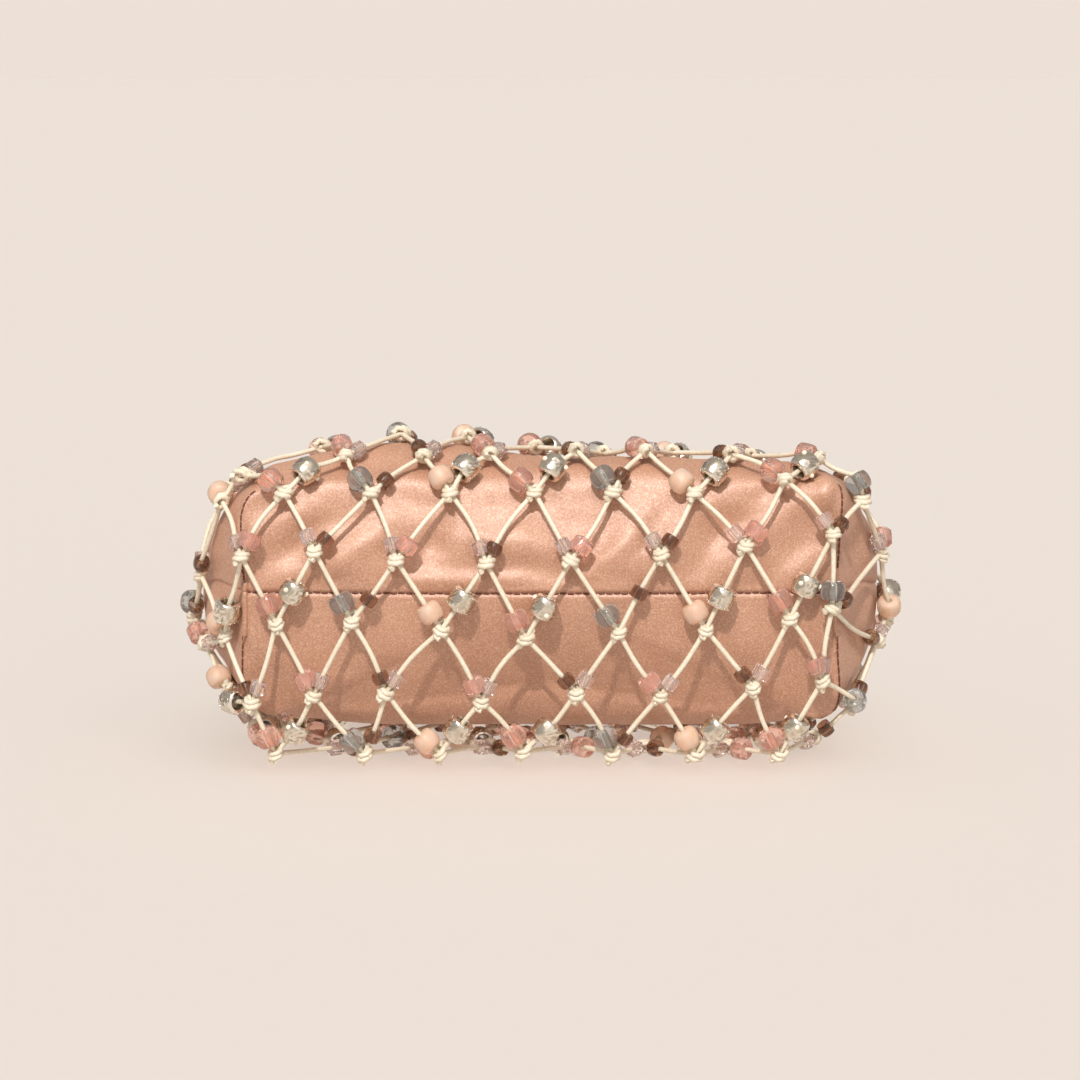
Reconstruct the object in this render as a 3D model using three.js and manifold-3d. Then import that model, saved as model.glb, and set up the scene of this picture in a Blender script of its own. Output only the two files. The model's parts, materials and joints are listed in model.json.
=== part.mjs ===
// Satin evening bag in a knotted bead net, lying on its back panel with its base facing -Y.
// Millimetres, +Z up, +X to the right across the base, +Y from the base towards the clasp frame.
// Two satin panels meet in a seam round the base and sides. The net is tied from cream waxed cord,
// with a bead on each of the two cords that enter a knot, and the bag rests on the beads of its back.
import * as THREE from "three";
import { mergeVertices } from "three/addons/utils/BufferGeometryUtils.js";
import Module from "manifold-3d";

const wasm = await Module();
wasm.setup();

// ---- Driving dimensions ----
const SATIN = 1.6; // satin with its interfacing
const LINING = 0.8;
const GAP = 0.4; // between pieces that touch
const SEAM_GAP = 0.3;
const CROWN = 3; // how far the middle of the base stands out
const MOUTH_SPLIT = 72; // from here to the frame the front panel folds as the bag opens
const MOUTH = 142; // where the satin enters the frame
const FRAME = {
  halfWidth: 100, end: 150, armStart: 96, corner: 24, band: 8, height: 4.6, z: 35,
  halfGap: 0.2, // from each half to the plane where they close
};
const GROOVE = { outer: 2, halfHeight: 1.1 }; // the slot along the frame's inner edge
const PACKING_CORD = { outer: 2.4, inner: 6.8, halfHeight: 0.75, start: 103 };
const HINGE = { y: 90, ear: 5, plate: 1.6, frontPlate: 98.2, backPlate: 96.2, hole: 1.65, tongue: [2, 12] };
const RIVET = { x: 95, pin: 1.5, head: 2.8, lip: 0.9, length: 5.9 };
const CLASP_BALL = { radius: 5, x: 5.4, z: 2.5, stand: 8, lean: 3.5 };
const CORD = 1.6; // side of the square cord section, equal in area to the round cord
const KNOT = 2;
const STAND_OFF = 5.9; // cord centre above the satin, so that a bead clears it
const EDGE_LIFT = 10; // cords that turn over the base's upper edge, clear of their beads
const CORD_LIFT = 3; // least height of a cord's centre above the satin between knots
const BEAD_FLOOR = 5; // cord height above the surface that the bag rests on
const BEAD_AT = { upper: 6.6, lower: 7.4, second: 12.8, foot: 10.6 }; // from the knot's centre

// ---- Body shape: distance from the base plane, then the value there ----
const HALF_WIDTH = [
  [0, 103], [6, 106], [25, 118], [45, 126], [60, 124],
  [72, 116], [80, 103], [84.5, 94], [96, 91.4], [MOUTH, 91.4],
];
const TOP = [[0, 106], [6, 110], [25, 112], [45, 105], [68, 88], [92, 66], [120, 51], [MOUTH, 42]];
const BOTTOM = [[0, 16.5], [6, 13.5], [16, 12.2], [25, 12], [112, 12], [128, 20], [MOUTH, 28]];
const RIDGE = [[0, 61], [25, 65], [45, 62], [70, 46], [84, 35], [MOUTH, 35]];
const SQUARENESS = [[0, 0.24], [6, 0.28], [25, 0.45], [45, 0.62], [70, 0.8], [92, 0.95], [MOUTH, 1]];

function along(table, y) {
  const i = table.findIndex(([station]) => station >= y);
  if (i < 0) return table.at(-1)[1];
  if (i === 0) return table[0][1];
  const [[y0, v0], [y1, v1]] = [table[i - 1], table[i]];
  return v0 + ((v1 - v0) * (y - y0)) / (y1 - y0);
}

// The mouth narrows inside the frame's rounded corners.
function halfWidth(y) {
  const inner = FRAME.corner - FRAME.band;
  const cornerY = FRAME.end - FRAME.corner;
  if (y <= cornerY) return along(HALF_WIDTH, y);
  const rise = Math.min(inner, y - cornerY + GAP);
  return FRAME.halfWidth - FRAME.corner - GAP + Math.sqrt(inner * inner - rise * rise);
}

// One half of the section at y, from the right seam over to the left seam.
// side is 1 for the front half and -1 for the back half.
function section(y, side, inset, count) {
  const ridge = along(RIDGE, y);
  const rise = Math.abs(along(side > 0 ? TOP : BOTTOM, y) - ridge);
  const wide = halfWidth(y);
  const power = along(SQUARENESS, y);
  const outline = [];
  const steps = 32;
  for (let i = 0; i <= steps; i++) {
    const t = (Math.PI * i) / steps;
    const x = wide * Math.sign(Math.cos(t)) * Math.abs(Math.cos(t)) ** power;
    outline.push(new THREE.Vector2(x, rise * Math.abs(Math.sin(t)) ** (power * 1.1)));
  }
  outline[steps / 2].x = 0;
  const [shareX, shareZ] = [1 - inset / wide, 1 - inset / rise];
  const place = ({ x, y: height }) => {
    return new THREE.Vector3(x * shareX, y, ridge + side * (SEAM_GAP / 2 + Math.max(0, height) * shareZ));
  };
  return new THREE.SplineCurve(outline).getSpacedPoints(count).map(place);
}

// ---- Mesh helpers ----
// A closed geometry from points and triangles, turned to face out.
function closed(points, faces) {
  let volume = 0;
  for (const [a, b, c] of faces) volume += points[a].dot(points[b].clone().cross(points[c]));
  const turned = volume < 0 ? faces.map(([a, b, c]) => [a, c, b]) : faces;
  return new THREE.BufferGeometry().setFromPoints(points).setIndex(turned.flat());
}

// The solid between an outer and an inner grid of points.
function shell(outer, inner) {
  const rows = outer.length;
  const columns = outer[0].length;
  const points = [...outer.flat(), ...inner.flat()];
  const faces = [];
  const quad = (a, b, c, d) => faces.push([a, b, c], [a, c, d]);
  const out = (i, j) => i * columns + j;
  const into = (i, j) => rows * columns + i * columns + j;
  for (let i = 0; i < rows - 1; i++) {
    for (let j = 0; j < columns - 1; j++) {
      quad(out(i, j), out(i, j + 1), out(i + 1, j + 1), out(i + 1, j));
      quad(into(i, j), into(i + 1, j), into(i + 1, j + 1), into(i, j + 1));
    }
    quad(out(i, 0), out(i + 1, 0), into(i + 1, 0), into(i, 0));
    quad(into(i, columns - 1), into(i + 1, columns - 1), out(i + 1, columns - 1), out(i, columns - 1));
  }
  for (let j = 0; j < columns - 1; j++) {
    quad(into(0, j), into(0, j + 1), out(0, j + 1), out(0, j));
    quad(out(rows - 1, j), out(rows - 1, j + 1), into(rows - 1, j + 1), into(rows - 1, j));
  }
  return closed(points, faces);
}

function solid(geometry) {
  const bare = geometry.clone().deleteAttribute("normal").deleteAttribute("uv");
  const merged = mergeVertices(bare, 1e-4);
  return new wasm.Manifold(
    new wasm.Mesh({
      numProp: 3,
      vertProperties: new Float32Array(merged.attributes.position.array),
      triVerts: new Uint32Array(merged.index.array),
    }),
  );
}

function geometryOf(manifold) {
  const mesh = manifold.getMesh();
  const positions = new Float32Array(mesh.numVert * 3);
  for (let i = 0; i < mesh.numVert; i++) {
    positions.set(mesh.vertProperties.subarray(i * mesh.numProp, i * mesh.numProp + 3), i * 3);
  }
  return new THREE.BufferGeometry()
    .setAttribute("position", new THREE.BufferAttribute(positions, 3))
    .setIndex(new THREE.BufferAttribute(mesh.triVerts, 1));
}

const bag = new THREE.Group();
// Adds a named mesh with a material of its own.
function add(name, geometry, finish, parent = bag) {
  const mesh = new THREE.Mesh(geometry, finish.clone());
  mesh.name = name;
  parent.add(mesh);
  return mesh;
}

const satin = new THREE.MeshStandardMaterial({ color: "#cf9478", roughness: 0.35, metalness: 0 });
const liningSatin = new THREE.MeshStandardMaterial({ color: "#e3c3b0", roughness: 0.5, metalness: 0 });
const board = new THREE.MeshStandardMaterial({ color: "#8d857c", roughness: 0.8, metalness: 0 });
const paleGold = new THREE.MeshStandardMaterial({ color: "#d9cdb4", roughness: 0.25, metalness: 1 });
const paper = new THREE.MeshStandardMaterial({ color: "#c9b491", roughness: 0.9, metalness: 0 });
const waxedCord = new THREE.MeshStandardMaterial({ color: "#ece2cc", roughness: 0.55, metalness: 0 });
const silver = new THREE.MeshStandardMaterial({ color: "#d2ccbc", roughness: 0.2, metalness: 1 });
const pinkGlass = new THREE.MeshStandardMaterial({ color: "#e79a86", roughness: 0.1, metalness: 0 });
const greyGlass = new THREE.MeshStandardMaterial({ color: "#8d8f98", roughness: 0.1, metalness: 0 });
const frostedGlass = new THREE.MeshStandardMaterial({ color: "#efb08c", roughness: 0.6, metalness: 0 });

// ---- Satin panels, lining and base board ----
// Rows of a panel from the mouth to the base seam.
// The last rows cross half of the base and close on the seam.
function panelRows(side, inset, from, count, capDepth) {
  const stations = [from, 58, 42, 26, 12, 5.4, 2.5].filter((y) => y > capDepth + 0.8);
  const rows = stations.map((y) => section(y, side, inset, count));
  const rim = section(0, side, inset, count);
  const ridge = along(RIDGE, 0);
  const wide = along(HALF_WIDTH, 0) - inset;
  for (const share of [1, 0.66, 0.33, 0]) {
    rows.push(
      rim.map((p, j) => {
        const even = wide * (1 - (2 * j) / count);
        const x = p.x * share + even * (1 - share);
        const bulge = inset > SATIN ? 0 : CROWN * (1 - share * share) * (1 - (x / wide) ** 2);
        const z = ridge + side * (SEAM_GAP / 2) + (p.z - ridge - side * (SEAM_GAP / 2)) * share;
        return new THREE.Vector3(x, capDepth - bulge, z);
      }),
    );
  }
  return rows;
}

// The stretch of the front panel, or the back panel's own top, between a station and the frame.
function mouthRows(side, inset, from, count) {
  return [MOUTH - GAP, 138.5, 133, 126, 108, 96, 84.5, 78]
    .filter((y) => y > from + 2)
    .concat(from)
    .map((y) => section(y, side, inset, count));
}

const bodyColumns = 16;
const liningInset = SATIN + GAP;
const liningDepth = 4.4;

function panelShell(side, outerInset, thickness, depth, whole) {
  const cap = 4;
  let outer = panelRows(side, outerInset, MOUTH_SPLIT, bodyColumns, depth);
  let inner = panelRows(side, outerInset + thickness, MOUTH_SPLIT, bodyColumns, depth + thickness);
  const shared = Math.min(outer.length, inner.length) - cap;
  outer = [...outer.slice(0, shared), ...outer.slice(-cap)];
  inner = [...inner.slice(0, shared), ...inner.slice(-cap)];
  if (whole) {
    const upTo = (inset) => mouthRows(side, inset, MOUTH_SPLIT + 1, bodyColumns).slice(0, -1);
    outer = [...upTo(outerInset), ...outer];
    inner = [...upTo(outerInset + thickness), ...inner];
  }
  return shell(outer, inner);
}

function mouthShell(side, outerInset, thickness) {
  const from = MOUTH_SPLIT + GAP;
  return shell(
    mouthRows(side, outerInset, from, bodyColumns),
    mouthRows(side, outerInset + thickness, from, bodyColumns),
  );
}

add("satin_front_panel", panelShell(1, 0, SATIN, 0, false), satin);
add("satin_back_panel", panelShell(-1, 0, SATIN, 0, true), satin);
add("satin_front_mouth", mouthShell(1, 0, SATIN), satin);
add("lining_front", panelShell(1, liningInset, LINING, liningDepth, false), liningSatin);
add("lining_back", panelShell(-1, liningInset, LINING, liningDepth, true), liningSatin);
add("lining_front_mouth", mouthShell(1, liningInset, LINING), liningSatin);

function baseBoard() {
  const [halfLong, halfDeep, corner, thick] = [95, 38, 14, 1.6];
  const outline = new THREE.Shape();
  outline.moveTo(-halfLong + corner, -halfDeep);
  outline.lineTo(halfLong - corner, -halfDeep);
  outline.absarc(halfLong - corner, -halfDeep + corner, corner, -Math.PI / 2, 0);
  outline.lineTo(halfLong, halfDeep - corner);
  outline.absarc(halfLong - corner, halfDeep - corner, corner, 0, Math.PI / 2);
  outline.lineTo(-halfLong + corner, halfDeep);
  outline.absarc(-halfLong + corner, halfDeep - corner, corner, Math.PI / 2, Math.PI);
  outline.lineTo(-halfLong, -halfDeep + corner);
  outline.absarc(-halfLong + corner, -halfDeep + corner, corner, Math.PI, Math.PI * 1.5);
  return new THREE.ExtrudeGeometry(outline, { depth: thick, bevelEnabled: false, curveSegments: 4 });
}
const baseBoardMesh = add("base_board", baseBoard(), board);
baseBoardMesh.rotation.x = Math.PI / 2;
baseBoardMesh.position.set(0, liningDepth - GAP, along(RIDGE, 0));

// ---- Clasp frame: two U-shaped channels hinged at their ends ----
// The U between two distances from the frame's outer edge.
function frameBand(outerEdge, innerEdge, start) {
  const band = new THREE.Shape();
  const half = FRAME.halfWidth;
  const cornerX = half - FRAME.corner;
  const cornerY = FRAME.end - FRAME.corner;
  const outerRadius = FRAME.corner - outerEdge;
  const innerRadius = FRAME.corner - innerEdge;
  band.moveTo(-half + outerEdge, start);
  band.lineTo(-half + outerEdge, cornerY);
  band.absarc(-cornerX, cornerY, outerRadius, Math.PI, Math.PI / 2, true);
  band.lineTo(cornerX, FRAME.end - outerEdge);
  band.absarc(cornerX, cornerY, outerRadius, Math.PI / 2, 0, true);
  band.lineTo(half - outerEdge, start);
  band.lineTo(half - innerEdge, start);
  band.lineTo(half - innerEdge, cornerY);
  band.absarc(cornerX, cornerY, innerRadius, 0, Math.PI / 2, false);
  band.lineTo(-cornerX, FRAME.end - innerEdge);
  band.absarc(-cornerX, cornerY, innerRadius, Math.PI / 2, Math.PI, false);
  band.lineTo(-half + innerEdge, start);
  return band;
}

function extruded(outline, from, to, segments = 6) {
  const geometry = new THREE.ExtrudeGeometry(outline, {
    depth: to - from,
    bevelEnabled: false,
    curveSegments: segments,
  });
  return geometry.translate(0, 0, from);
}

// An ear of the hinge, in the frame's plane until it is turned to stand across X.
function ear(side, x0, x1) {
  const outline = new THREE.Shape();
  outline.absarc(HINGE.y, 0, HINGE.ear, 0, Math.PI * 2);
  const disc = extruded(outline, x0, x1, 10);
  const tongue = new THREE.Shape();
  const [low, high] = side > 0 ? [0.3, FRAME.height] : [-FRAME.height, -0.3];
  const [near, far] = HINGE.tongue.map((reach) => HINGE.y + reach);
  tongue.moveTo(near, low);
  tongue.lineTo(far, low);
  tongue.lineTo(far, high);
  tongue.lineTo(near, high);
  const hole = new THREE.Shape();
  hole.absarc(HINGE.y, 0, HINGE.hole, 0, Math.PI * 2);
  return solid(disc)
    .add(solid(extruded(tongue, x0, x1)))
    .subtract(solid(extruded(hole, x0 - 1, x1 + 1, 8)));
}

// Turns a solid drawn as (y, z, x) into (x, y, z).
const standAcross = (manifold) => manifold.transform([0, 1, 0, 0, 0, 0, 1, 0, 1, 0, 0, 0, 0, 0, 0, 1]);

function frameHalf(side) {
  const [near, far] = [FRAME.halfGap, FRAME.halfGap + FRAME.height];
  const [low, high] = side > 0 ? [near, far] : [-far, -near];
  const middle = (low + high) / 2;
  const channel = frameBand(GROOVE.outer, FRAME.band + 1, FRAME.armStart - 1);
  const slot = solid(extruded(channel, middle - GROOVE.halfHeight, middle + GROOVE.halfHeight));
  let half = solid(extruded(frameBand(0, FRAME.band, FRAME.armStart), low, high)).subtract(slot);
  const x0 = side > 0 ? HINGE.frontPlate : HINGE.backPlate;
  const x1 = x0 + HINGE.plate;
  for (const [a, b] of [[x0, x1], [-x1, -x0]]) half = half.add(standAcross(ear(side, a, b)));
  return geometryOf(half);
}

const frameFront = new THREE.Group();
frameFront.position.z = FRAME.z;
const frameBack = frameFront.clone();
bag.add(frameFront, frameBack);
add("frame_front", frameHalf(1), paleGold, frameFront);
add("frame_back", frameHalf(-1), paleGold, frameBack);

for (const [name, side, group] of [["front", 1, frameFront], ["back", -1, frameBack]]) {
  const { outer, inner, halfHeight, start } = PACKING_CORD;
  const middle = side * (FRAME.halfGap + FRAME.height / 2);
  const strip = extruded(frameBand(outer, inner, start), middle - halfHeight, middle + halfHeight, 4);
  add(`packing_cord_${name}`, strip, paper, group);
}

function rivet() {
  const { pin, head, lip, length } = RIVET;
  const lower = [[0, 0], [head, 0], [head, lip], [pin, lip]];
  const upper = lower.map(([r, h]) => [r, length - h]).reverse();
  return new THREE.LatheGeometry([...lower, ...upper].map(([r, h]) => new THREE.Vector2(r, h)), 16);
}
for (const [name, side] of [["left", -1], ["right", 1]]) {
  const mesh = add(`hinge_rivet_${name}`, rivet(), paleGold, frameBack);
  mesh.rotation.z = (-side * Math.PI) / 2;
  mesh.position.set(side * RIVET.x, HINGE.y, 0);
}

// A clasp ball leans over to the other half, beside its twin.
function claspBall(lean) {
  const ball = new THREE.SphereGeometry(CLASP_BALL.radius, 14, 10).translate(0, CLASP_BALL.stand, lean);
  const stem = new THREE.CylinderGeometry(1.7, 2.2, 6, 10).translate(0, 3.3, lean * 0.25);
  return geometryOf(solid(ball).add(solid(stem)));
}
const ballFront = add("clasp_ball_front", claspBall(-CLASP_BALL.lean), paleGold, frameFront);
ballFront.position.set(CLASP_BALL.x, FRAME.end, CLASP_BALL.z);
const ballBack = add("clasp_ball_back", claspBall(CLASP_BALL.lean), paleGold, frameBack);
ballBack.position.set(-CLASP_BALL.x, FRAME.end, -CLASP_BALL.z);

// ---- Knotted net ----
// Whether a point is inside the satin.
function inside(p) {
  const y = Math.max(0, p.y);
  const ridge = along(RIDGE, y);
  const rise = p.z > ridge ? along(TOP, y) - ridge : ridge - along(BOTTOM, y);
  const power = along(SQUARENESS, y);
  const across = (Math.abs(p.x) / halfWidth(Math.min(y, MOUTH - 1))) ** (2 / power);
  const up = (Math.abs(p.z - ridge) / rise) ** (2 / (power * 1.1));
  if (across + up >= 1 || y > MOUTH) return false;
  const edge = along(HALF_WIDTH, 0);
  return p.y > -CROWN * (1 - (p.x / edge) ** 2) * (1 - ((p.z - ridge) / rise) ** 2);
}

// Carries a point straight out from a core inside the bag to a height above the satin.
function standOff(point, height, core = coreNear(point)) {
  const out = point.clone().sub(core).normalize();
  let [near, far] = [0, 140]; // the far end is outside everywhere
  for (let halving = 0; halving < 30; halving++) {
    const middle = (near + far) / 2;
    if (inside(core.clone().addScaledVector(out, middle))) near = middle;
    else far = middle;
  }
  return { at: core.clone().addScaledVector(out, near + height), out };
}

// The nearest point of the bag's middle sheet.
function coreNear({ x, y }) {
  const depth = THREE.MathUtils.clamp(y, 14, 132);
  return new THREE.Vector3(THREE.MathUtils.clamp(x, -88, 88), depth, along(RIDGE, depth));
}

// Knots across the base, hand-set: distance across and height above the floor for each knot.
const BASE_ROWS = [
  { name: "A1", at: [[-91, 102], [-60, 102], [-32, 102], [-2, 102], [26, 101], [55, 102], [87, 103]] },
  { name: "B1", at: [[-106, 80], [-80, 82], [-51, 79], [-19, 78], [11, 79], [43, 81], [73, 84], [104, 87]] },
  { name: "A2", at: [[-94, 56], [-67, 57], [-35, 54], [-5, 51], [28, 53], [59, 54], [89, 58]] },
  { name: "B2", at: [[-104, 27], [-81, 30], [-55, 31], [-21, 28], [13, 31], [43, 30], [75, 32], [102, 34]] },
];
// Rows over the front panel and under the back panel: distance from the base plane,
// number of knots, and half the row's width.
const FRONT_ROWS = [
  { name: "F6", y: 130, knots: 8, reach: 72 },
  { name: "F5", y: 110, knots: 7, reach: 70 },
  { name: "F4", y: 91, knots: 8, reach: 86 },
  { name: "F3", y: 73, knots: 7, reach: 84 },
  { name: "F2", y: 55, knots: 8, reach: 104 },
  { name: "F1", y: 35, knots: 7, reach: 88 },
  { name: "B0", y: 14, knots: 8, reach: 102 },
];
const BACK_ROWS = [
  { name: "A3", y: -2, knots: 7, reach: 90 },
  { name: "K1", y: 15, knots: 8, reach: 102 },
  { name: "K2", y: 37, knots: 7, reach: 88 },
  { name: "K3", y: 59, knots: 8, reach: 102 },
  { name: "K4", y: 82, knots: 7, reach: 84 },
  { name: "K5", y: 105, knots: 8, reach: 86 },
  { name: "K6", y: 127, knots: 7, reach: 68 },
];
// Knots on the right side: distance from the base plane and height. The left side mirrors them.
const SIDE_KNOTS = { P1: [28, 97], P2: [26, 60], P3: [28, 22], P4: [50, 79], P5: [52, 40] };
const FRONT_EDGE = { name: "F3", x: 110, y: 67 };
const BACK_EDGE = { name: "K4", x: 108, y: 80 };

const knots = new Map();
function tie(name, x, y, z, height = STAND_OFF, core = undefined) {
  const { at, out } = standOff(new THREE.Vector3(x, y, z), height, core);
  knots.set(name, { at, out });
}
for (const row of FRONT_ROWS) {
  for (let i = 0; i < row.knots; i++) {
    const x = row.reach * ((2 * i) / (row.knots - 1) - 1);
    tie(row.name + i, x, row.y, along(TOP, row.y) + 20);
  }
}
for (const row of BASE_ROWS) {
  row.at.forEach(([x, z], i) => {
    const core = new THREE.Vector3(THREE.MathUtils.clamp(x, -98, 98), 12, z);
    tie(row.name + i, x, -12, z, STAND_OFF, core);
  });
}
for (const row of BACK_ROWS) {
  for (let i = 0; i < row.knots; i++) {
    const x = row.reach * ((2 * i) / (row.knots - 1) - 1);
    const flat = row.y > 10 && row.y < 110;
    const onFloor = { at: new THREE.Vector3(x, row.y, BEAD_FLOOR), out: new THREE.Vector3(0, 0, -1) };
    if (flat) knots.set(row.name + i, onFloor);
    else tie(row.name + i, x, row.y, row.y < 0 ? 8 : along(BOTTOM, row.y) - 20);
  }
}
for (const [hand, side] of [["R", 1], ["L", -1]]) {
  for (const [name, [y, z]] of Object.entries(SIDE_KNOTS)) tie(name + hand, side * 160, y, z, 3.4);
  tie(FRONT_EDGE.name + hand, side * FRONT_EDGE.x, FRONT_EDGE.y, 110, 4);
  tie(BACK_EDGE.name + hand, side * BACK_EDGE.x, BACK_EDGE.y, 0, 4);
}

// Cords between knots. Each knot takes a left and a right cord in, and lets a left and a right cord out.
const cords = [];
function cord(from, exit, to, entry) {
  cords.push({ from, exit, to, entry });
}
const wide = (row) => (row.at ? row.at.length : row.knots) === 8;
const sequence = [...FRONT_ROWS, ...BASE_ROWS, ...BACK_ROWS];
for (let r = 0; r < sequence.length - 1; r++) {
  const [upper, lower] = [sequence[r], sequence[r + 1]];
  for (let i = 0; i < 8; i++) {
    if (wide(upper)) {
      if (i > 0) cord(upper.name + i, "outLeft", lower.name + (i - 1), "inRight");
      if (i < 7) cord(upper.name + i, "outRight", lower.name + i, "inLeft");
    } else if (i < 7) {
      cord(upper.name + i, "outLeft", lower.name + i, "inRight");
      cord(upper.name + i, "outRight", lower.name + (i + 1), "inLeft");
    }
  }
}
for (const [hand, near, far, last] of [["R", "Left", "Right", 7], ["L", "Right", "Left", 0]]) {
  cord("B0" + last, "out" + far, "P1" + hand, "in" + near);
  cord("F2" + last, "out" + far, "P1" + hand, "in" + far);
  cord("P1" + hand, "out" + near, "B1" + last, "in" + far);
  cord("P1" + hand, "out" + far, "P4" + hand, "in" + near);
  cord("F3" + hand, "out" + near, "F2" + last, "in" + far);
  cord("F3" + hand, "out" + far, "P4" + hand, "in" + far);
  cord("F4" + last, "out" + far, "F3" + hand, "in" + near);
  cord("B1" + last, "out" + far, "P2" + hand, "in" + near);
  cord("P4" + hand, "out" + near, "P2" + hand, "in" + far);
  cord("P2" + hand, "out" + near, "B2" + last, "in" + far);
  cord("P2" + hand, "out" + far, "P5" + hand, "in" + near);
  cord("P4" + hand, "out" + far, "P5" + hand, "in" + far);
  cord("B2" + last, "out" + far, "P3" + hand, "in" + near);
  cord("P5" + hand, "out" + near, "P3" + hand, "in" + far);
  cord("P3" + hand, "out" + near, "K1" + last, "in" + far);
  cord("P3" + hand, "out" + far, "K3" + last, "in" + far);
  cord("K3" + last, "out" + far, "K4" + hand, "in" + near);
  cord("P5" + hand, "out" + far, "K4" + hand, "in" + far);
  cord("K4" + hand, "out" + near, "K5" + last, "in" + far);
}

// A knot is a small block whose four side faces are its ports.
const PORTS = { outRight: [1, 0], outLeft: [0, 1], inLeft: [-1, 0], inRight: [0, -1] };
function blockOf(name) {
  const knot = knots.get(name);
  const toward = (port) => {
    const c = cords.find((k) => (k.from === name && k.exit === port) || (k.to === name && k.entry === port));
    if (!c) return null;
    const other = knots.get(c.from === name ? c.to : c.from);
    return other ? other.at.clone().sub(knot.at).normalize() : null;
  };
  const sum = (a, b) => {
    const v = new THREE.Vector3();
    if (toward(a)) v.add(toward(a));
    if (toward(b)) v.sub(toward(b));
    return v;
  };
  const first = sum("outRight", "inLeft").projectOnPlane(knot.out).normalize();
  const second = sum("outLeft", "inRight").projectOnPlane(knot.out);
  second.addScaledVector(first, -second.dot(first)).normalize();
  if (second.lengthSq() < 0.5) second.crossVectors(knot.out, first);
  return { at: knot.at, first, second, out: knot.out };
}

// The points that a cord turns at, counted from the knot it enters.
function turnsOf(c) {
  const [knot, other] = [knots.get(c.to), knots.get(c.from)];
  const run = other.at.clone().sub(knot.at);
  const overEdge = c.from.startsWith("B0") && c.to.startsWith("A1");
  const turns = [];
  for (const share of overEdge ? [0.4] : [0.25, 0.5, 0.75]) {
    const point = knot.at.clone().addScaledVector(run, share);
    const edge = new THREE.Vector3(THREE.MathUtils.clamp(point.x, -86, 86), 14, 96);
    const lifted = overEdge ? standOff(point, EDGE_LIFT, edge) : standOff(point, CORD_LIFT);
    if (point.sub(lifted.at).dot(lifted.out) < 0) turns.push(lifted.at);
  }
  return turns;
}

// Builds one closed net body from knots and the cords that join them.
// A cord to a knot of another body stops short of it.
function netBody(names) {
  const points = [];
  const faces = [];
  const blocks = new Map();
  for (const name of names) {
    const block = blockOf(name);
    const corners = {};
    for (const a of [-1, 1]) {
      for (const b of [-1, 1]) {
        for (const c of [-1, 1]) {
          corners[`${a},${b},${c}`] = points.length;
          points.push(
            block.at
              .clone()
              .addScaledVector(block.first, (a * KNOT) / 2)
              .addScaledVector(block.second, (b * KNOT) / 2)
              .addScaledVector(block.out, (c * KNOT) / 2),
          );
        }
      }
    }
    const hand = Math.sign(block.first.clone().cross(block.second).dot(block.out));
    const quad = (ring) => (hand > 0 ? ring : [...ring].reverse()).map((k) => corners[k]);
    // Each ring runs anticlockwise seen from outside the block.
    blocks.set(name, {
      block,
      rings: {
        outRight: quad(["1,-1,-1", "1,1,-1", "1,1,1", "1,-1,1"]),
        inLeft: quad(["-1,1,-1", "-1,-1,-1", "-1,-1,1", "-1,1,1"]),
        outLeft: quad(["1,1,-1", "-1,1,-1", "-1,1,1", "1,1,1"]),
        inRight: quad(["-1,-1,-1", "1,-1,-1", "1,-1,1", "-1,-1,1"]),
      },
      caps: [
        quad(["-1,-1,1", "1,-1,1", "1,1,1", "-1,1,1"]),
        quad(["-1,1,-1", "1,1,-1", "1,-1,-1", "-1,-1,-1"]),
      ],
    });
  }
  const cap = ([a, b, c, d]) => faces.push([a, b, c], [a, c, d]);
  const used = new Set();
  const ringAt = (centre, ring) => {
    const start = points.length;
    const middle = new THREE.Vector3();
    ring.forEach((k) => middle.addScaledVector(points[k], 0.25));
    ring.forEach((k) => {
      const arm = points[k].clone().sub(middle).setLength((CORD / 2) * Math.SQRT2);
      points.push(centre.clone().add(arm));
    });
    return ring.map((_, i) => start + i);
  };
  const join = (a, b) => {
    for (let i = 0; i < 4; i++) {
      const j = (i + 1) % 4;
      faces.push([a[i], a[j], b[j]], [a[i], b[j], b[i]]);
    }
  };
  for (const c of cords) {
    const [here, there] = [names.has(c.from), names.has(c.to)];
    if (!here && !there) continue;
    const start = here ? blocks.get(c.from).rings[c.exit] : blocks.get(c.to).rings[c.entry];
    const [p, q] = here ? [c.from, c.to] : [c.to, c.from];
    used.add(p + (here ? c.exit : c.entry));
    const [pa, qa] = [knots.get(p).at, knots.get(q).at];
    const run = qa.clone().sub(pa);
    let last = start;
    const turns = turnsOf(c);
    for (const point of here ? turns.reverse() : turns) {
      const ring = ringAt(point, start);
      join(last, ring);
      last = ring;
    }
    if (here && there) {
      const end = [...blocks.get(c.to).rings[c.entry]].reverse();
      used.add(c.to + c.entry);
      const orders = [0, 1, 2, 3].map((k) => end.map((_, i) => end[(i + k) % 4]));
      const away = (ring, i) => points[ring[i]].clone().sub(qa).distanceTo(points[start[i]].clone().sub(pa));
      const spread = (ring) => ring.reduce((total, _, i) => total + away(ring, i), 0);
      const best = orders.sort((a, b) => spread(a) - spread(b))[0];
      join(last, best);
    } else {
      const stop = ringAt(pa.clone().addScaledVector(run, 1 - (KNOT / 2 + 1.2) / run.length()), last);
      join(last, stop);
      cap(stop);
    }
  }
  for (const [name, { rings, caps }] of blocks) {
    caps.forEach(cap);
    for (const port of Object.keys(PORTS)) if (!used.has(name + port)) cap(rings[port]);
  }
  return closed(points, faces);
}

const mouthNames = new Set([...knots.keys()].filter((n) => /^F[56]/.test(n)));
const bodyNames = new Set([...knots.keys()].filter((n) => !mouthNames.has(n)));
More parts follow.
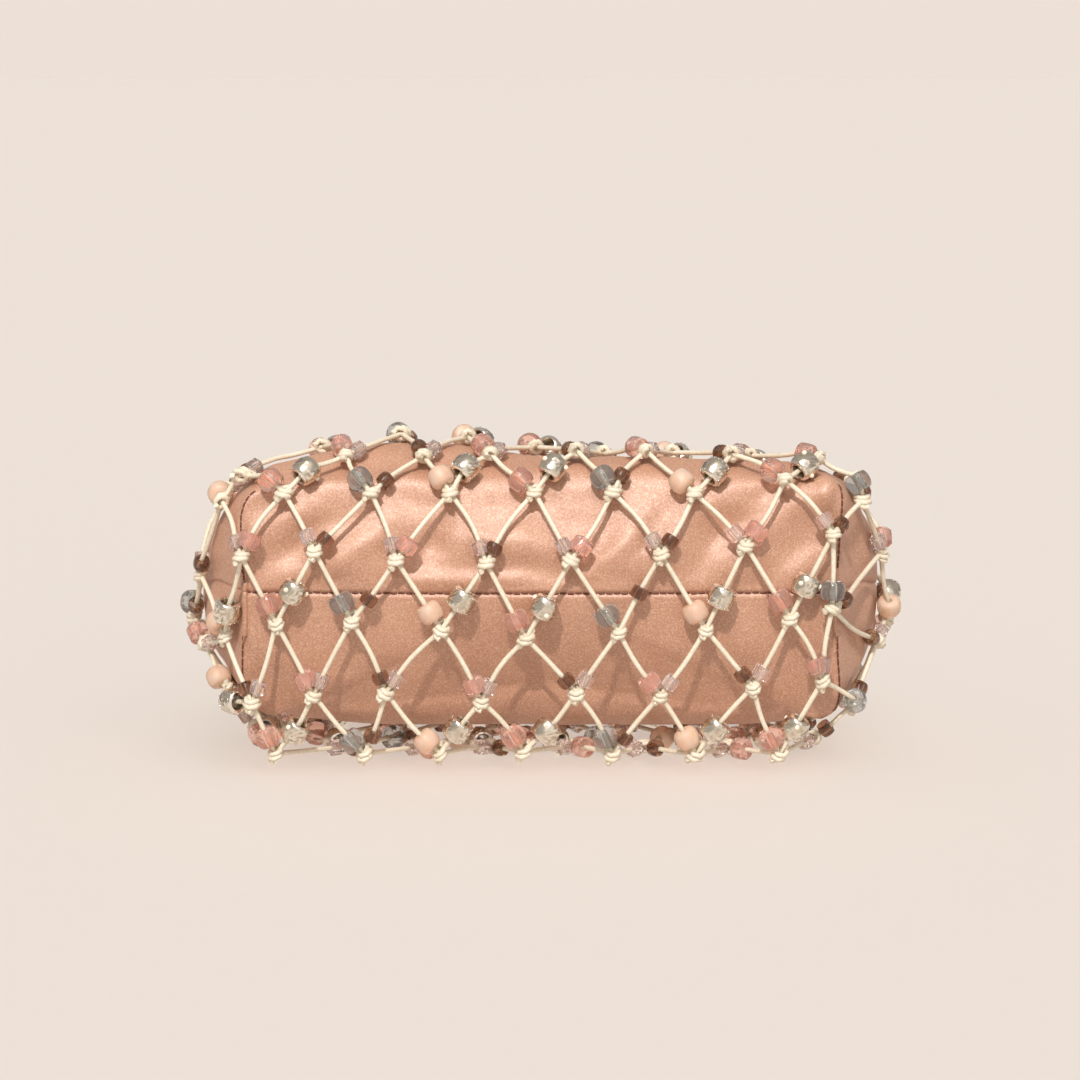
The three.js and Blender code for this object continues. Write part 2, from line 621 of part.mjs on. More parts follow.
// The two bodies must not both build the cords between them.
const crossing = cords.filter((c) => mouthNames.has(c.from) && bodyNames.has(c.to));
for (const c of crossing) cords.splice(cords.indexOf(c), 1);
add("knotted_net", netBody(bodyNames), waxedCord);
cords.push(...crossing);
const inner = cords.filter((c) => !mouthNames.has(c.from));
for (const c of inner) cords.splice(cords.indexOf(c), 1);
add("net_front_mouth", netBody(mouthNames), waxedCord);
cords.push(...inner);

// ---- Beads ----
const FACETS = 8;
function beadGeometry({ radius, length, bore, band, shoulder }) {
  const corner = radius / Math.cos(Math.PI / FACETS);
  const half = [[corner, band / 2], [shoulder, length / 2]].filter(([r]) => r > bore);
  const profile = [[bore, -length / 2]]
    .concat(half.map(([r, h]) => [r, -h]).reverse(), half, [[bore, length / 2], [bore, -length / 2]]);
  return new THREE.LatheGeometry(profile.map(([r, h]) => new THREE.Vector2(r, h)), FACETS);
}
const BEADS = {
  silver: { radius: 5, length: 8, bore: 2.4, band: 3.2, shoulder: 3.7, finish: silver },
  pink: { radius: 4.2, length: 6.4, bore: 2, band: 3, shoulder: 0, finish: pinkGlass },
  grey: { radius: 4.2, length: 6.4, bore: 2, band: 3, shoulder: 0, finish: greyGlass },
  peach: { radius: 4.4, length: 6.8, bore: 2, band: 2.6, shoulder: 0, finish: frostedGlass },
};
const LEFT_BEADS = ["pink", "grey", "peach", "pink", "grey", "peach", "pink"];

// Threads a bead on the cord that enters a knot, at a distance from the knot's centre.
function thread(name, kind, knotName, entry, distance) {
  const c = cords.find((k) => k.to === knotName && k.entry === entry);
  const knot = knots.get(knotName);
  const next = turnsOf(c)[0] ?? knots.get(c.from).at;
  const run = next.clone().sub(knot.at).normalize();
  const bead = BEADS[kind];
  const mesh = add(name, beadGeometry(bead), bead.finish);
  const facet = knot.out.clone().projectOnPlane(run).normalize();
  const turn = new THREE.Matrix4().makeBasis(facet.clone().cross(run), run, facet.clone().negate());
  // Half a facet's turn brings a flat facet round to face outwards.
  mesh.geometry.rotateY(Math.PI / FACETS);
  mesh.quaternion.setFromRotationMatrix(turn);
  mesh.position.copy(knot.at).addScaledVector(run, distance);
  return mesh;
}

for (let i = 0; i < 7; i++) {
  const kind = LEFT_BEADS[i];
  thread(`bead_${kind}_upper_${i + 1}`, kind, "A1" + i, "inLeft", BEAD_AT.upper);
  thread(`bead_${kind}_lower_${i + 1}`, kind, "A2" + i, "inLeft", BEAD_AT.lower);
  if (kind !== "grey") thread(`bead_silver_lower_${i + 1}`, "silver", "A2" + i, "inRight", BEAD_AT.second);
}
for (let i = 1; i < 7; i++) thread(`bead_pink_middle_${i}`, "pink", "B1" + i, "inRight", BEAD_AT.lower);

// The beads that the bag rests on: the knots of each row that have one.
const FEET = { K2: [0, 3, 6], K3: [1, 6], K4: [0, 3, 6], K5: [1, 3, 4, 6] };
for (const [row, places] of Object.entries(FEET)) {
  for (const i of places) {
    const entry = i > 3 ? "inLeft" : "inRight";
    thread(`foot_bead_${row}_${i}`, "silver", row + i, entry, BEAD_AT.foot);
  }
}

// The origin sits under the middle of the bag, on the surface it rests on.
const box = new THREE.Box3().setFromObject(bag);
const middle = box.getCenter(new THREE.Vector3());
bag.position.set(-middle.x, -middle.y, -box.min.z);

export default bag;
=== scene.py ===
import json
import random
from math import cos, pi, radians, sin
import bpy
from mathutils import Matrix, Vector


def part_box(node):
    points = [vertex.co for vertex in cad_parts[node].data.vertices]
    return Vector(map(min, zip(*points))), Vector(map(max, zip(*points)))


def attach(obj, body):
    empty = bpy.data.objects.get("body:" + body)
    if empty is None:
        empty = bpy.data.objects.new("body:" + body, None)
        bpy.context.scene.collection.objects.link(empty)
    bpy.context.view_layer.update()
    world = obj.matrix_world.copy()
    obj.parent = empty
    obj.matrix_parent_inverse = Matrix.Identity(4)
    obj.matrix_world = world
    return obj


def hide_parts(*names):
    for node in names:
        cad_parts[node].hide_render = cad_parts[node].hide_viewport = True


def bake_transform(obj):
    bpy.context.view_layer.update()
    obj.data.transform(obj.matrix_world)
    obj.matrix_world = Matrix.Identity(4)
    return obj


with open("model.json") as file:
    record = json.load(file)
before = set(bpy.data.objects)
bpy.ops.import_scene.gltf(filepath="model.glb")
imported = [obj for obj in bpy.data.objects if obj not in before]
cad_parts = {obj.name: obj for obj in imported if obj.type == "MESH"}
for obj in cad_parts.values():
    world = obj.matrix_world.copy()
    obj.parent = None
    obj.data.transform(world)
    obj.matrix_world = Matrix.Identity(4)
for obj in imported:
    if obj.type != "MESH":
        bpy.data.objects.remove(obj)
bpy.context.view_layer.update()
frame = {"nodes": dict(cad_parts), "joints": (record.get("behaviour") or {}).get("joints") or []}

from types import SimpleNamespace

import bpy
import numpy as np
from mathutils import Matrix, Vector, noise
from mathutils.bvhtree import BVHTree


# --- Stiffening board ---------------------------------------------------------------------------
# A thin plate of grey bookbinder's board, round at its corners, lies inside the base and keeps it
# flat. It is die cut and glued between the satin and the lining, so it never shows.

def hex_colour(code):
    """An sRGB hex value as the linear colour that a shader takes."""
    parts = [int(code[i:i + 2], 16) / 255 for i in (0, 2, 4)]
    return [c / 12.92 if c <= 0.04045 else ((c + 0.055) / 1.055) ** 2.4 for c in parts] + [1]


def add(tree, kind, sockets=None, **settings):
    """Adds one shader node. sockets takes values or other nodes' outputs, settings its options."""
    made = tree.nodes.new("ShaderNode" + kind)
    for name, value in settings.items():
        setattr(made, name, value)
    for name, value in (sockets or {}).items():
        if isinstance(value, bpy.types.NodeSocket):
            tree.links.new(value, made.inputs[name])
        else:
            made.inputs[name].default_value = value
    return made


def new_material(name):
    """A new material, its node tree, and its coordinates on the object."""
    made = bpy.data.materials.new(name)
    made.use_nodes = True
    tree = made.node_tree
    tree.nodes.clear()
    return made, tree, add(tree, "TexCoord").outputs["Object"]


def shades(tree, value, *codes):
    """A soft ramp over hex colours, evenly spaced from 0.3 to 0.7 of a noise value."""
    ramp = add(tree, "ValToRGB", {"Fac": value})
    while len(ramp.color_ramp.elements) < len(codes):
        ramp.color_ramp.elements.new(0.5)
    for i, code in enumerate(codes):
        ramp.color_ramp.elements[i].position = 0.3 + 0.4 * i / (len(codes) - 1)
        ramp.color_ramp.elements[i].color = hex_colour(code)
    return ramp.outputs["Color"]


def dress(name, material):
    """Gives a CAD node its finish."""
    mesh = frame["nodes"][name].data
    mesh.materials.clear()
    mesh.materials.append(material)


# Grey board: pressed waste paper, matt, with fibre flecks about 1.5 mm long.
greyboard, tree, place = new_material("grey_board")
flecks = add(tree, "TexNoise", {"Vector": place, "Scale": 1 / 0.0015, "Detail": 3}).outputs[0]
bump = add(tree, "Bump", {"Height": flecks, "Strength": 0.3, "Distance": 0.0001})
shader = add(tree, "BsdfPrincipled", {
    "Base Color": shades(tree, flecks, "8f8a80", "a59f93"), "Roughness": 0.9,
    "Normal": bump.outputs[0]})
add(tree, "OutputMaterial", {"Surface": shader.outputs[0]})
BOARD_LONG, BOARD_DEEP, BOARD_THICK, BOARD_CORNER = 0.184, 0.070, 0.0016, 0.014
BOARD_BEHIND = 0.010          # how far behind its CAD solid it lies, clear of the satin's folds
board_low, board_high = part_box("base_board")
board_middle = (board_low + board_high) / 2
bpy.ops.object.select_all(action="DESELECT")
bpy.ops.mesh.primitive_plane_add(size=1)
board = bpy.context.object
board.name = "board"
for vertex in board.data.vertices:
    vertex.co = (board_middle.x + vertex.co.x * BOARD_LONG, board_low.y + BOARD_BEHIND,
                 board_middle.z + vertex.co.y * BOARD_DEEP)
bpy.ops.object.mode_set(mode="EDIT")
bpy.ops.mesh.select_all(action="SELECT")
bpy.ops.mesh.bevel(offset=BOARD_CORNER, segments=6, affect="VERTICES")
bpy.ops.mesh.extrude_region_move(TRANSFORM_OT_translate={"value": (0, BOARD_THICK, 0)})
bpy.ops.mesh.select_all(action="SELECT")
bpy.ops.mesh.normals_make_consistent(inside=False)
bpy.ops.object.mode_set(mode="OBJECT")
board.data.materials.append(greyboard)
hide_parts("base_board")
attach(board, "bag")


# --- Satin panels -------------------------------------------------------------------------------
# The pouch is two panels of heavy rose satin, bagged out over the board. Each panel has half of the
# base and wraps round the boxed corners and sides to the mouth, where the frame grips it.

MM = 0.001
CROWN = 3                     # how far the base swells out in its middle, mm
BASE_HALF_WIDTH, BASE_HALF_HEIGHT = 103, 45
SHARP_EDGE, UPPER_ROLL, LOWER_ROLL = 1.4, 9.5, 15.0     # radii round the edge of the base
UPPER_LEAN, LOWER_LEAN = 6.0, 8.0                       # how far the base leans back at its edges
base_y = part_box("satin_back_panel")[0].y + CROWN * MM   # the flat of the base, behind its crown
middle_x = sum(corner.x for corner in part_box("satin_back_panel")) / 2
# The pouch in mm: distance from the base, and there its half width, its top, its underside, the
# height of its side seam, and how square its section is (1 is an ellipse).
HALF_WIDTH = [[0, 106.5], [6, 109], [25, 118.5], [45, 126], [60, 124], [72, 116], [80, 103],
              [84.5, 94], [96, 91.4], [142, 91.4]]
TOP = [[0, 105], [6, 109], [25, 111.5], [45, 105], [68, 88], [92, 66], [120, 51], [142, 42]]
BOTTOM = [[0, 16.5], [6, 13.5], [16, 12.4], [25, 12.2], [112, 12.2], [128, 20], [142, 28]]
RIDGE = [[0, 66], [25, 66], [45, 62], [70, 46], [84, 35], [142, 35]]
SQUARENESS = [[0, 0.24], [6, 0.28], [25, 0.45], [45, 0.62], [70, 0.8], [92, 0.95], [142, 1]]
MOUTH_Y = 141.6


def along(table, y):
    """A measure at a distance from the base, read off its table and rounded over 5 mm."""
    stations, values = np.array(table, float).T
    return sum(np.interp(y + step, stations, values) for step in (-2.5, -1, 0, 1, 2.5)) / 5


def outline(across, up, y):
    """Where the pouch's outline at y lies in a direction on the square from -1 to 1."""
    half = along(HALF_WIDTH, y)
    ridge = along(RIDGE, y)
    rise = np.where(up >= 0, along(TOP, y) - ridge, ridge - along(BOTTOM, y))
    squarer = np.where(across > 0, 0.62, 1.0) ** np.clip(1 - y / 60, 0, 1)    # the right corners
    power = 2 / (along(SQUARENESS, y) * squarer)
    low, high = np.full_like(across, 0.3), np.full_like(across, 1.2)
    for _ in range(24):
        reach = (low + high) / 2
        outside = np.abs(across * reach) ** power + np.abs(up * reach) ** (power / 1.1) > 1
        low, high = np.where(outside, low, reach), np.where(outside, reach, high)
    return half * reach * across, rise * reach * up, ridge


def smooth(start, end, value):
    """Goes softly from 0 to 1 as the value goes from start to end."""
    t = np.clip((value - start) / (end - start), 0, 1)
    return t * t * (3 - 2 * t)


def pouch_point(across, up, turn, climb):
    """A point of the pouch, in mm from the base. turn goes from 0 on the flat to 1 round the base
    edge, and climb from 0 at that edge to 1 at the mouth."""
    reach = np.maximum(np.maximum(np.abs(across), np.abs(up)), 1e-9)
    side, rise = across / reach, up / reach
    x0, z0, _ = outline(side, rise, np.zeros_like(side))
    size = np.hypot(x0, z0)
    soft_edge = smooth(0.82, 1.0, np.abs(rise)) * (1 - 0.75 * smooth(0.93, 1.0, np.abs(side)))
    radius = SHARP_EDGE + np.where(rise > 0, UPPER_ROLL, LOWER_ROLL) * soft_edge
    leans = np.where(up > 0, UPPER_LEAN * np.abs(z0 / 40) ** 1.5, LOWER_LEAN * (z0 / 46) ** 2)
    leans = leans * reach ** 1.6
    angle = turn * pi / 2
    crown = CROWN * (1 - (reach * x0 / BASE_HALF_WIDTH) ** 2) * (turn == 0)
    crown = crown * (1 - (reach * z0 / BASE_HALF_HEIGHT) ** 2)
    y = leans + radius * (1 - np.cos(angle))
    y = y + climb * (MOUTH_Y - y) - crown
    share = np.where(turn > 0, 1 - radius / size * (1 - np.sin(angle)), reach * (1 - radius / size))
    x, z, ridge = outline(side, rise, np.maximum(y, 0))
    return np.stack([x * share, y, z * share + ridge], -1)


# Each fold runs along a line of points (x, y, z in mm), with its height and half width.
FOLDS = [
    ([(40, -1, 73), (48, -1, 88), (58, 0, 97), (76, 1, 103)], 3.8, 5.2),
    ([(56, -1, 75), (64, -1, 88), (80, 0, 96)], -2.6, 4.4),
    ([(73, -1, 73), (79, -1, 87), (88, 0, 97), (101, 1, 102)], 3.8, 4.6),
    ([(85, -1, 74), (96, 0, 87)], -2.2, 4.2),
    ([(99, 2, 103), (106, 4, 100)], 4.3, 6.0),
    ([(18, -2, 74), (32, -2, 85), (40, -1, 97)], 2.4, 5.0),
    ([(8, -2, 72), (22, -2, 84), (26, -2, 97)], -1.9, 4.4),
    ([(-52, 1, 104), (-46, 0, 98), (-38, 0, 98), (-32, 1, 104)], -2.9, 2.8),
    ([(-47, 3, 108), (-41, 2, 105), (-36, 3, 108)], 2.2, 4.5),
    ([(-104, 0, 82), (-94, 0, 90), (-80, 0, 99)], 2.9, 4.8),
    ([(-98, 0, 75), (-85, 0, 83), (-74, 0, 97)], -2.4, 4.4),
    ([(-80, 0, 72), (-66, -1, 82), (-54, -1, 92)], 3.1, 5.0),
    ([(-46, -2, 74), (-38, -1, 84), (-34, -1, 97)], -2.6, 4.6),
    ([(-27, -2, 84), (-8, -2, 85), (12, -2, 82)], 3.4, 6.5),
    ([(-24, -2, 76), (-6, -3, 76), (8, -3, 74)], -1.4, 3.6),
    ([(-52, -2, 70), (-32, -2, 69), (-8, -2, 70)], 1.9, 3.4),
    ([(8, -3, 67), (16, -3, 73)], 0.7, 2.2),
    ([(14, -3, 67), (22, -3, 72)], -0.6, 2.0),
    ([(21, -3, 67), (29, -3, 71)], 0.6, 2.2),
    ([(-70, -2, 67), (-64, -2, 72)], 0.6, 2.2),
    ([(-60, -2, 67), (-54, -2, 71)], -0.5, 2.0),
    ([(56, -2, 67), (62, -2, 72)], 0.5, 2.2),
    ([(-100, -1, 48), (-84, 0, 36), (-62, 0, 27)], 1.8, 6.0),
    ([(98, -1, 34), (92, 0, 24), (80, 0, 18)], 1.2, 4.5),
    ([(-60, -2, 40), (-20, -3, 34), (30, -3, 38), (70, -2, 44)], 0.8, 11.0),
    ([(-88, 0, 18), (-10, 0, 17), (88, 0, 18)], -1.3, 4.5),
    ([(112, 12, 100), (118, 24, 82), (120, 30, 60), (116, 24, 36)], 2.0, 4.0),
    ([(108, 8, 92), (113, 14, 78)], -1.3, 3.0),
    ([(-110, 10, 98), (-118, 24, 84), (-119, 28, 62)], 1.8, 4.5),
    ([(-112, 16, 66), (-122, 34, 50), (-120, 40, 36)], 1.4, 5.0),
    ([(-90, 26, 108), (-74, 36, 111), (-45, 40, 112), (-4, 42, 111)], 8.5, 17.0),
    ([(-97, 10, 107), (-60, 14, 110), (-5, 15, 111)], -2.2, 5.5),
    ([(30, 13, 111), (70, 14, 110), (98, 10, 107)], -1.0, 4.5),
    ([(-70, 60, 98), (-40, 66, 92), (10, 70, 90)], -2.0, 9.0),
    ([(20, 30, 112), (60, 36, 111), (96, 30, 106)], 1.4, 9.0),
    ([(-30, 90, 68), (-20, 120, 52)], 1.6, 5.0),
    ([(-60, 88, 66), (-48, 122, 48)], 1.5, 5.0),
    ([(0, 92, 68), (8, 122, 52)], 1.4, 5.0),
    ([(34, 90, 67), (34, 122, 50)], 1.6, 5.0),
    ([(66, 86, 66), (56, 122, 46)], 1.5, 5.0),
]


def folded(points):
    """Height of all folds at the points, in mm, plus a slow waviness of the cloth."""
    height = np.zeros(len(points))
    for line, rise, width in FOLDS:
        nearest = np.full(len(points), 1e9)
        lengths = [(Vector(b) - Vector(a)).length for a, b in zip(line, line[1:])]
        walked, total = 0, sum(lengths)
        taper = np.zeros(len(points))
        for a, b, length in zip(line, line[1:], lengths):
            start, run = np.array(a, float), np.array(b, float) - np.array(a, float)
            part = np.clip((points - start) @ run / length ** 2, 0, 1)
            gap = np.linalg.norm(points - start - part[:, None] * run, axis=1)
            closer = gap < nearest
            nearest = np.where(closer, gap, nearest)
            taper = np.where(closer, (walked + part * length) / total, taper)
            walked += length
        height += rise * np.exp(-(nearest / width) ** 2) * np.sin(pi * (0.12 + 0.76 * taper))
    upper = smooth(60, 80, points[:, 2]) * 0.7 + 0.35
    for i, p in enumerate(points):
        slow = noise.noise(Vector((p[0] / 17, p[1] / 21, p[2] / 14 + 3)))
        quick = noise.noise(Vector((p[0] / 7 + 9, p[1] / 9, p[2] / 6)))
        height[i] += upper[i] * (1.1 * slow + 0.35 * quick)
    return height


def only(thing):
    """Selects one object and makes it active, with everything else left out."""
    bpy.ops.object.select_all(action="DESELECT")
    thing.select_set(True)
    bpy.context.view_layer.objects.active = thing


def grid(name, columns, rows, points):
    """A flat grid whose vertices are then set, rows of columns."""
    bpy.ops.object.select_all(action="DESELECT")
    bpy.ops.mesh.primitive_grid_add(x_subdivisions=columns - 1, y_subdivisions=rows - 1, size=1)
    made = bpy.context.object
    made.name = name
    made.data.vertices.foreach_set("co", np.ascontiguousarray(points, np.float32).ravel())
    return made


def join(name, pieces):
    """Joins pieces into the first, as one mesh."""
    bpy.ops.object.select_all(action="DESELECT")
    for piece in pieces:
        piece.select_set(True)
    bpy.context.view_layer.objects.active = pieces[0]
    if len(pieces) > 1:
        bpy.ops.object.join()
    pieces[0].name = pieces[0].data.name = name
    return pieces[0]


def modify(thing, kind, **settings):
    """Adds a modifier and applies it."""
    only(thing)
    modifier = thing.modifiers.new(kind, kind)
    for key, value in settings.items():
        setattr(modifier, key, value)
    bpy.ops.object.modifier_apply(modifier=modifier.name)


SEAM_GROOVE = 0.8             # depth and half width of the groove along the base seam, mm
BOXED_GROOVE = 1.5            # the same for the boxed corners' seams
BOXED_X, BOXED_Y = 106.1, 1.2
LINING_DEPTH = 11.0           # the lining stays this far from the base, behind the board


def sheet_of_pouch(name, upper, inset, waves, fineness=1.0):
    """One panel: its half of the base, and the wall from the base edge to the mouth, in metres."""
    near_seam = [0, 0.007, 0.015, 0.025, 0.04, 0.06, 0.09]
    ups = np.array(near_seam + list(np.linspace(0.13, 1, round(17 * fineness))))
    tight = [1, 0.996, 0.991, 0.984, 0.974, 0.96]
    acrosses = np.array([-v for v in tight] + list(np.linspace(-0.94, 0.94, round(80 * fineness)))
                        + tight[::-1])
    sign = 1 if upper else -1
    face_f, face_g = np.meshgrid(acrosses, ups * sign)
    face = pouch_point(face_f.ravel(), face_g.ravel(), np.zeros(face_f.size), np.zeros(face_f.size))
    ring = ([(-1, g) for g in ups[:-1]] + [(f, 1) for f in acrosses] + [(1, g) for g in ups[-2::-1]])
    ring = np.array(ring) * [1, sign]
    steps = [(t, 0) for t in np.linspace(0, 1, 8)][1:]
    steps += [(1, c) for c in np.linspace(0, 1, round(54 * fineness))[1:]]
    turns = np.array([(0, 0)] + steps)
    ring_f, turn = np.meshgrid(ring[:, 0], turns[:, 0])
    ring_g, climb = np.meshgrid(ring[:, 1], turns[:, 1])
    wall = pouch_point(ring_f.ravel(), ring_g.ravel(), turn.ravel(), climb.ravel())
    # the first row of the wall is the last of the flat, so it takes the flat's own place
    wall[:len(ring)] = pouch_point(ring[:, 0], ring[:, 1], np.zeros(len(ring)), np.zeros(len(ring)))
    made = join(name, [grid(name, len(acrosses), len(ups), face),
                       grid(name + "_wall", len(ring), len(turns), wall)])
    bpy.ops.object.mode_set(mode="EDIT")
    bpy.ops.mesh.select_all(action="SELECT")
    bpy.ops.mesh.remove_doubles(threshold=0.02)
    bpy.ops.mesh.normals_make_consistent(inside=False)
    bpy.ops.object.mode_set(mode="OBJECT")
    mesh = made.data
    lowest = min(mesh.polygons, key=lambda face: face.center.y)
    if lowest.normal.y > 0:
        mesh.flip_normals()
    points = np.array([v.co for v in mesh.vertices])
    normals = np.array([v.normal for v in mesh.vertices])
    if waves:
        edge = np.abs(points[:, 2] - along(RIDGE, points[:, 1]))      # distance from the seam
        calm = smooth(1, 7, edge) * smooth(MOUTH_Y, MOUTH_Y - 12, points[:, 1])
        points += normals * (folded(points) * calm)[:, None]
        points -= normals * (SEAM_GROOVE * np.exp(-(edge / SEAM_GROOVE) ** 2))[:, None]
        boxed = np.hypot(np.abs(points[:, 0]) - BOXED_X, points[:, 1] - BOXED_Y)
        fade = smooth(8, 20, points[:, 2]) * smooth(108, 98, points[:, 2])
        points -= normals * (BOXED_GROOVE * fade * np.exp(-(boxed / BOXED_GROOVE) ** 2))[:, None]
    points -= normals * inset
    if inset:
        points[:, 1] = np.maximum(points[:, 1], LINING_DEPTH)
    points = points * MM + [middle_x, base_y, 0]
    mesh.vertices.foreach_set("co", points.astype(np.float32).ravel())
    mesh.update()
    return made


panels = {True: sheet_of_pouch("satin_front", True, 0.0, True),
          False: sheet_of_pouch("satin_back", False, 0.0, True)}
skin = {}
for upper, panel in panels.items():
    modify(panel, "SUBSURF", levels=1, render_levels=1)
    skin[upper] = BVHTree.FromPolygons([v.co for v in panel.data.vertices],
                                       [list(face.vertices) for face in panel.data.polygons])
    modify(panel, "SOLIDIFY", thickness=1.1 * MM, offset=-1)
    only(panel)
    bpy.ops.object.shade_smooth()

# Duchesse satin: long floats of filament yarn over a tight twill, calendered. It throws broad soft
# highlights paler than its body. The floats' sparkle is painted: the grain's palest shade is a painted
# glint, and its darker shades are the cloth's own mottling. Real floats are 0.3 mm long; the grain is
# drawn at 0.6 mm so that it shows.
satin, tree, place = new_material("rose_duchesse_satin")
grain_and_painted_sparkle = add(tree, "TexNoise", {"Vector": place, "Scale": 1 / 0.0006, "Detail": 2}).outputs[0]
cloud = add(tree, "TexNoise", {"Vector": place, "Scale": 1 / 0.045, "Detail": 2}).outputs[0]
# the grain's pale top shade is the floats' painted sparkle, a painted glint over the cloth's mottled
# tone
tone = add(tree, "Mix", {0: 0.4, 6: shades(tree, cloud, "b68367", "c28f73"),
                         7: shades(tree, grain_and_painted_sparkle, "98664b", "bd8a6c", "ebccb2")},
           data_type="RGBA")
gloss = add(tree, "MapRange", {0: grain_and_painted_sparkle, 1: 0.3, 2: 0.7, 3: 0.62, 4: 0.5})
bump = add(tree, "Bump", {"Height": grain_and_painted_sparkle, "Strength": 0.2, "Distance": 0.0002})
shader = add(tree, "BsdfPrincipled", {
    "Base Color": tone.outputs[2], "Roughness": gloss.outputs[0], "Metallic": 0.12, "IOR": 1.7,
    "Specular IOR Level": 0.8, "Anisotropic": 0.3, "Sheen Weight": 0.2, "Sheen Roughness": 0.4,
    "Sheen Tint": hex_colour("f6d2bd"), "Normal": bump.outputs[0]})
add(tree, "OutputMaterial", {"Surface": shader.outputs[0]})
for panel in panels.values():
    panel.data.materials.append(satin)

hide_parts("satin_front_panel", "satin_front_mouth")
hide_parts("satin_back_panel")
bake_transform(panels[True])
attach(panels[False], "bag")


# --- Lining -------------------------------------------------------------------------------------
# A thin viscose lining, cut like the satin and a little smaller, hangs inside the pouch. It is sewn
# to the satin at the mouth, and it shows only while the frame is open.

# Lining twill: dull side out, warm beige, with a fine diagonal rib drawn at 0.9 mm.
lining_cloth, tree, place = new_material("beige_viscose_lining")
turned = add(tree, "Mapping", {"Vector": place, "Rotation": (0.3, 0.2, radians(45))})
rib = add(tree, "TexWave", {"Vector": turned.outputs[0], "Scale": 0.314 / 0.0009, "Distortion": 0.6})
bump = add(tree, "Bump", {"Height": rib.outputs["Fac"], "Strength": 0.15, "Distance": 0.0002})
shader = add(tree, "BsdfPrincipled", {
    "Base Color": shades(tree, rib.outputs["Fac"], "cdb39d", "dcc5b0"), "Roughness": 0.55,
    "Sheen Weight": 0.3, "Normal": bump.outputs[0]})
add(tree, "OutputMaterial", {"Surface": shader.outputs[0]})
for upper, name in ((True, "lining_front_cloth"), (False, "lining_back_cloth")):
    lining = sheet_of_pouch(name, upper, 2.4, False, fineness=0.55)
    modify(lining, "SOLIDIFY", thickness=0.5 * MM, offset=-1)
    only(lining)
    bpy.ops.object.shade_smooth()
    lining.data.materials.append(lining_cloth)
    if upper:
        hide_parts("lining_front", "lining_front_mouth")
        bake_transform(lining)
    else:
        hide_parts("lining_back")
        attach(lining, "bag")


# --- Clasp frame --------------------------------------------------------------------------------
# Two U-shaped halves of pressed steel strip, plated pale gold, turn on two rivets. Each half grips
# its panel in a channel, wedged with twisted paper cord, and a ball on each half snaps shut.

# Plated steel: bright, faintly brushed along the strip, with soft smears from handling.
plated, tree, place = new_material("pale_gold_plated_steel")
drawn = add(tree, "Mapping", {"Vector": place, "Scale": (60, 900, 900)})
brushed = add(tree, "TexNoise", {"Vector": drawn.outputs[0], "Scale": 3, "Detail": 2}).outputs[0]
smear = add(tree, "TexNoise", {"Vector": place, "Scale": 1 / 0.02, "Detail": 2}).outputs[0]
gloss = add(tree, "MapRange", {0: smear, 1: 0.3, 2: 0.7, 3: 0.16, 4: 0.3})
bump = add(tree, "Bump", {"Height": brushed, "Strength": 0.06, "Distance": 0.0001})
shader = add(tree, "BsdfPrincipled", {
    "Base Color": shades(tree, smear, "dcc39a", "e8d3ae"), "Metallic": 1.0,
    "Roughness": gloss.outputs[0], "Normal": bump.outputs[0]})
add(tree, "OutputMaterial", {"Surface": shader.outputs[0]})
for name in ("frame_front", "frame_back", "hinge_rivet_left", "hinge_rivet_right",
             "clasp_ball_front", "clasp_ball_back"):
    dress(name, plated)

# Twisted kraft paper: brown, matt, with a spiral every 3 mm.
kraft, tree, place = new_material("twisted_kraft_paper")
turned = add(tree, "Mapping", {"Vector": place, "Rotation": (0, 0, radians(35))})
twist = add(tree, "TexWave", {"Vector": turned.outputs[0], "Scale": 0.314 / 0.003}).outputs["Fac"]
bump = add(tree, "Bump", {"Height": twist, "Strength": 0.5, "Distance": 0.0003})
shader = add(tree, "BsdfPrincipled", {
    "Base Color": shades(tree, twist, "a5855c", "c2a47a"), "Roughness": 0.85,
    "Normal": bump.outputs[0]})
add(tree, "OutputMaterial", {"Surface": shader.outputs[0]})
for name in ("packing_cord_front", "packing_cord_back"):
    dress(name, kraft)


# --- Knotted net --------------------------------------------------------------------------------
# One net of cream waxed cotton cord, 1.8 mm thick, is knotted in diamonds round the whole pouch:
# down the front, over the base, round the sides and up the back. Each knot joins four cords.

CORD = 0.9                    # the cord's radius, mm
rng = random.Random(11)


def hit(start, way, upper=None):
    """Where a line from start meets the satin, and which way the satin faces there, in bag mm."""
    best = None
    for half in ((True, False) if upper is None else (upper,)):
        place, normal, _, distance = skin[half].ray_cast(to_room(start), Vector(way))
        if place is not None and (best is None or distance < best[2]):
            best = (place, normal, distance)
    return best and (to_bag(best[0]), np.array(best[1]))


def to_room(p):
    """From mm measured off the base to metres in the frame."""
    return Vector((p[0] * MM + middle_x, p[1] * MM + base_y, p[2] * MM))


def to_bag(p):
    """The other way: metres in the frame to mm measured off the base."""
    return np.array([(p[0] - middle_x) / MM, (p[1] - base_y) / MM, p[2] / MM])


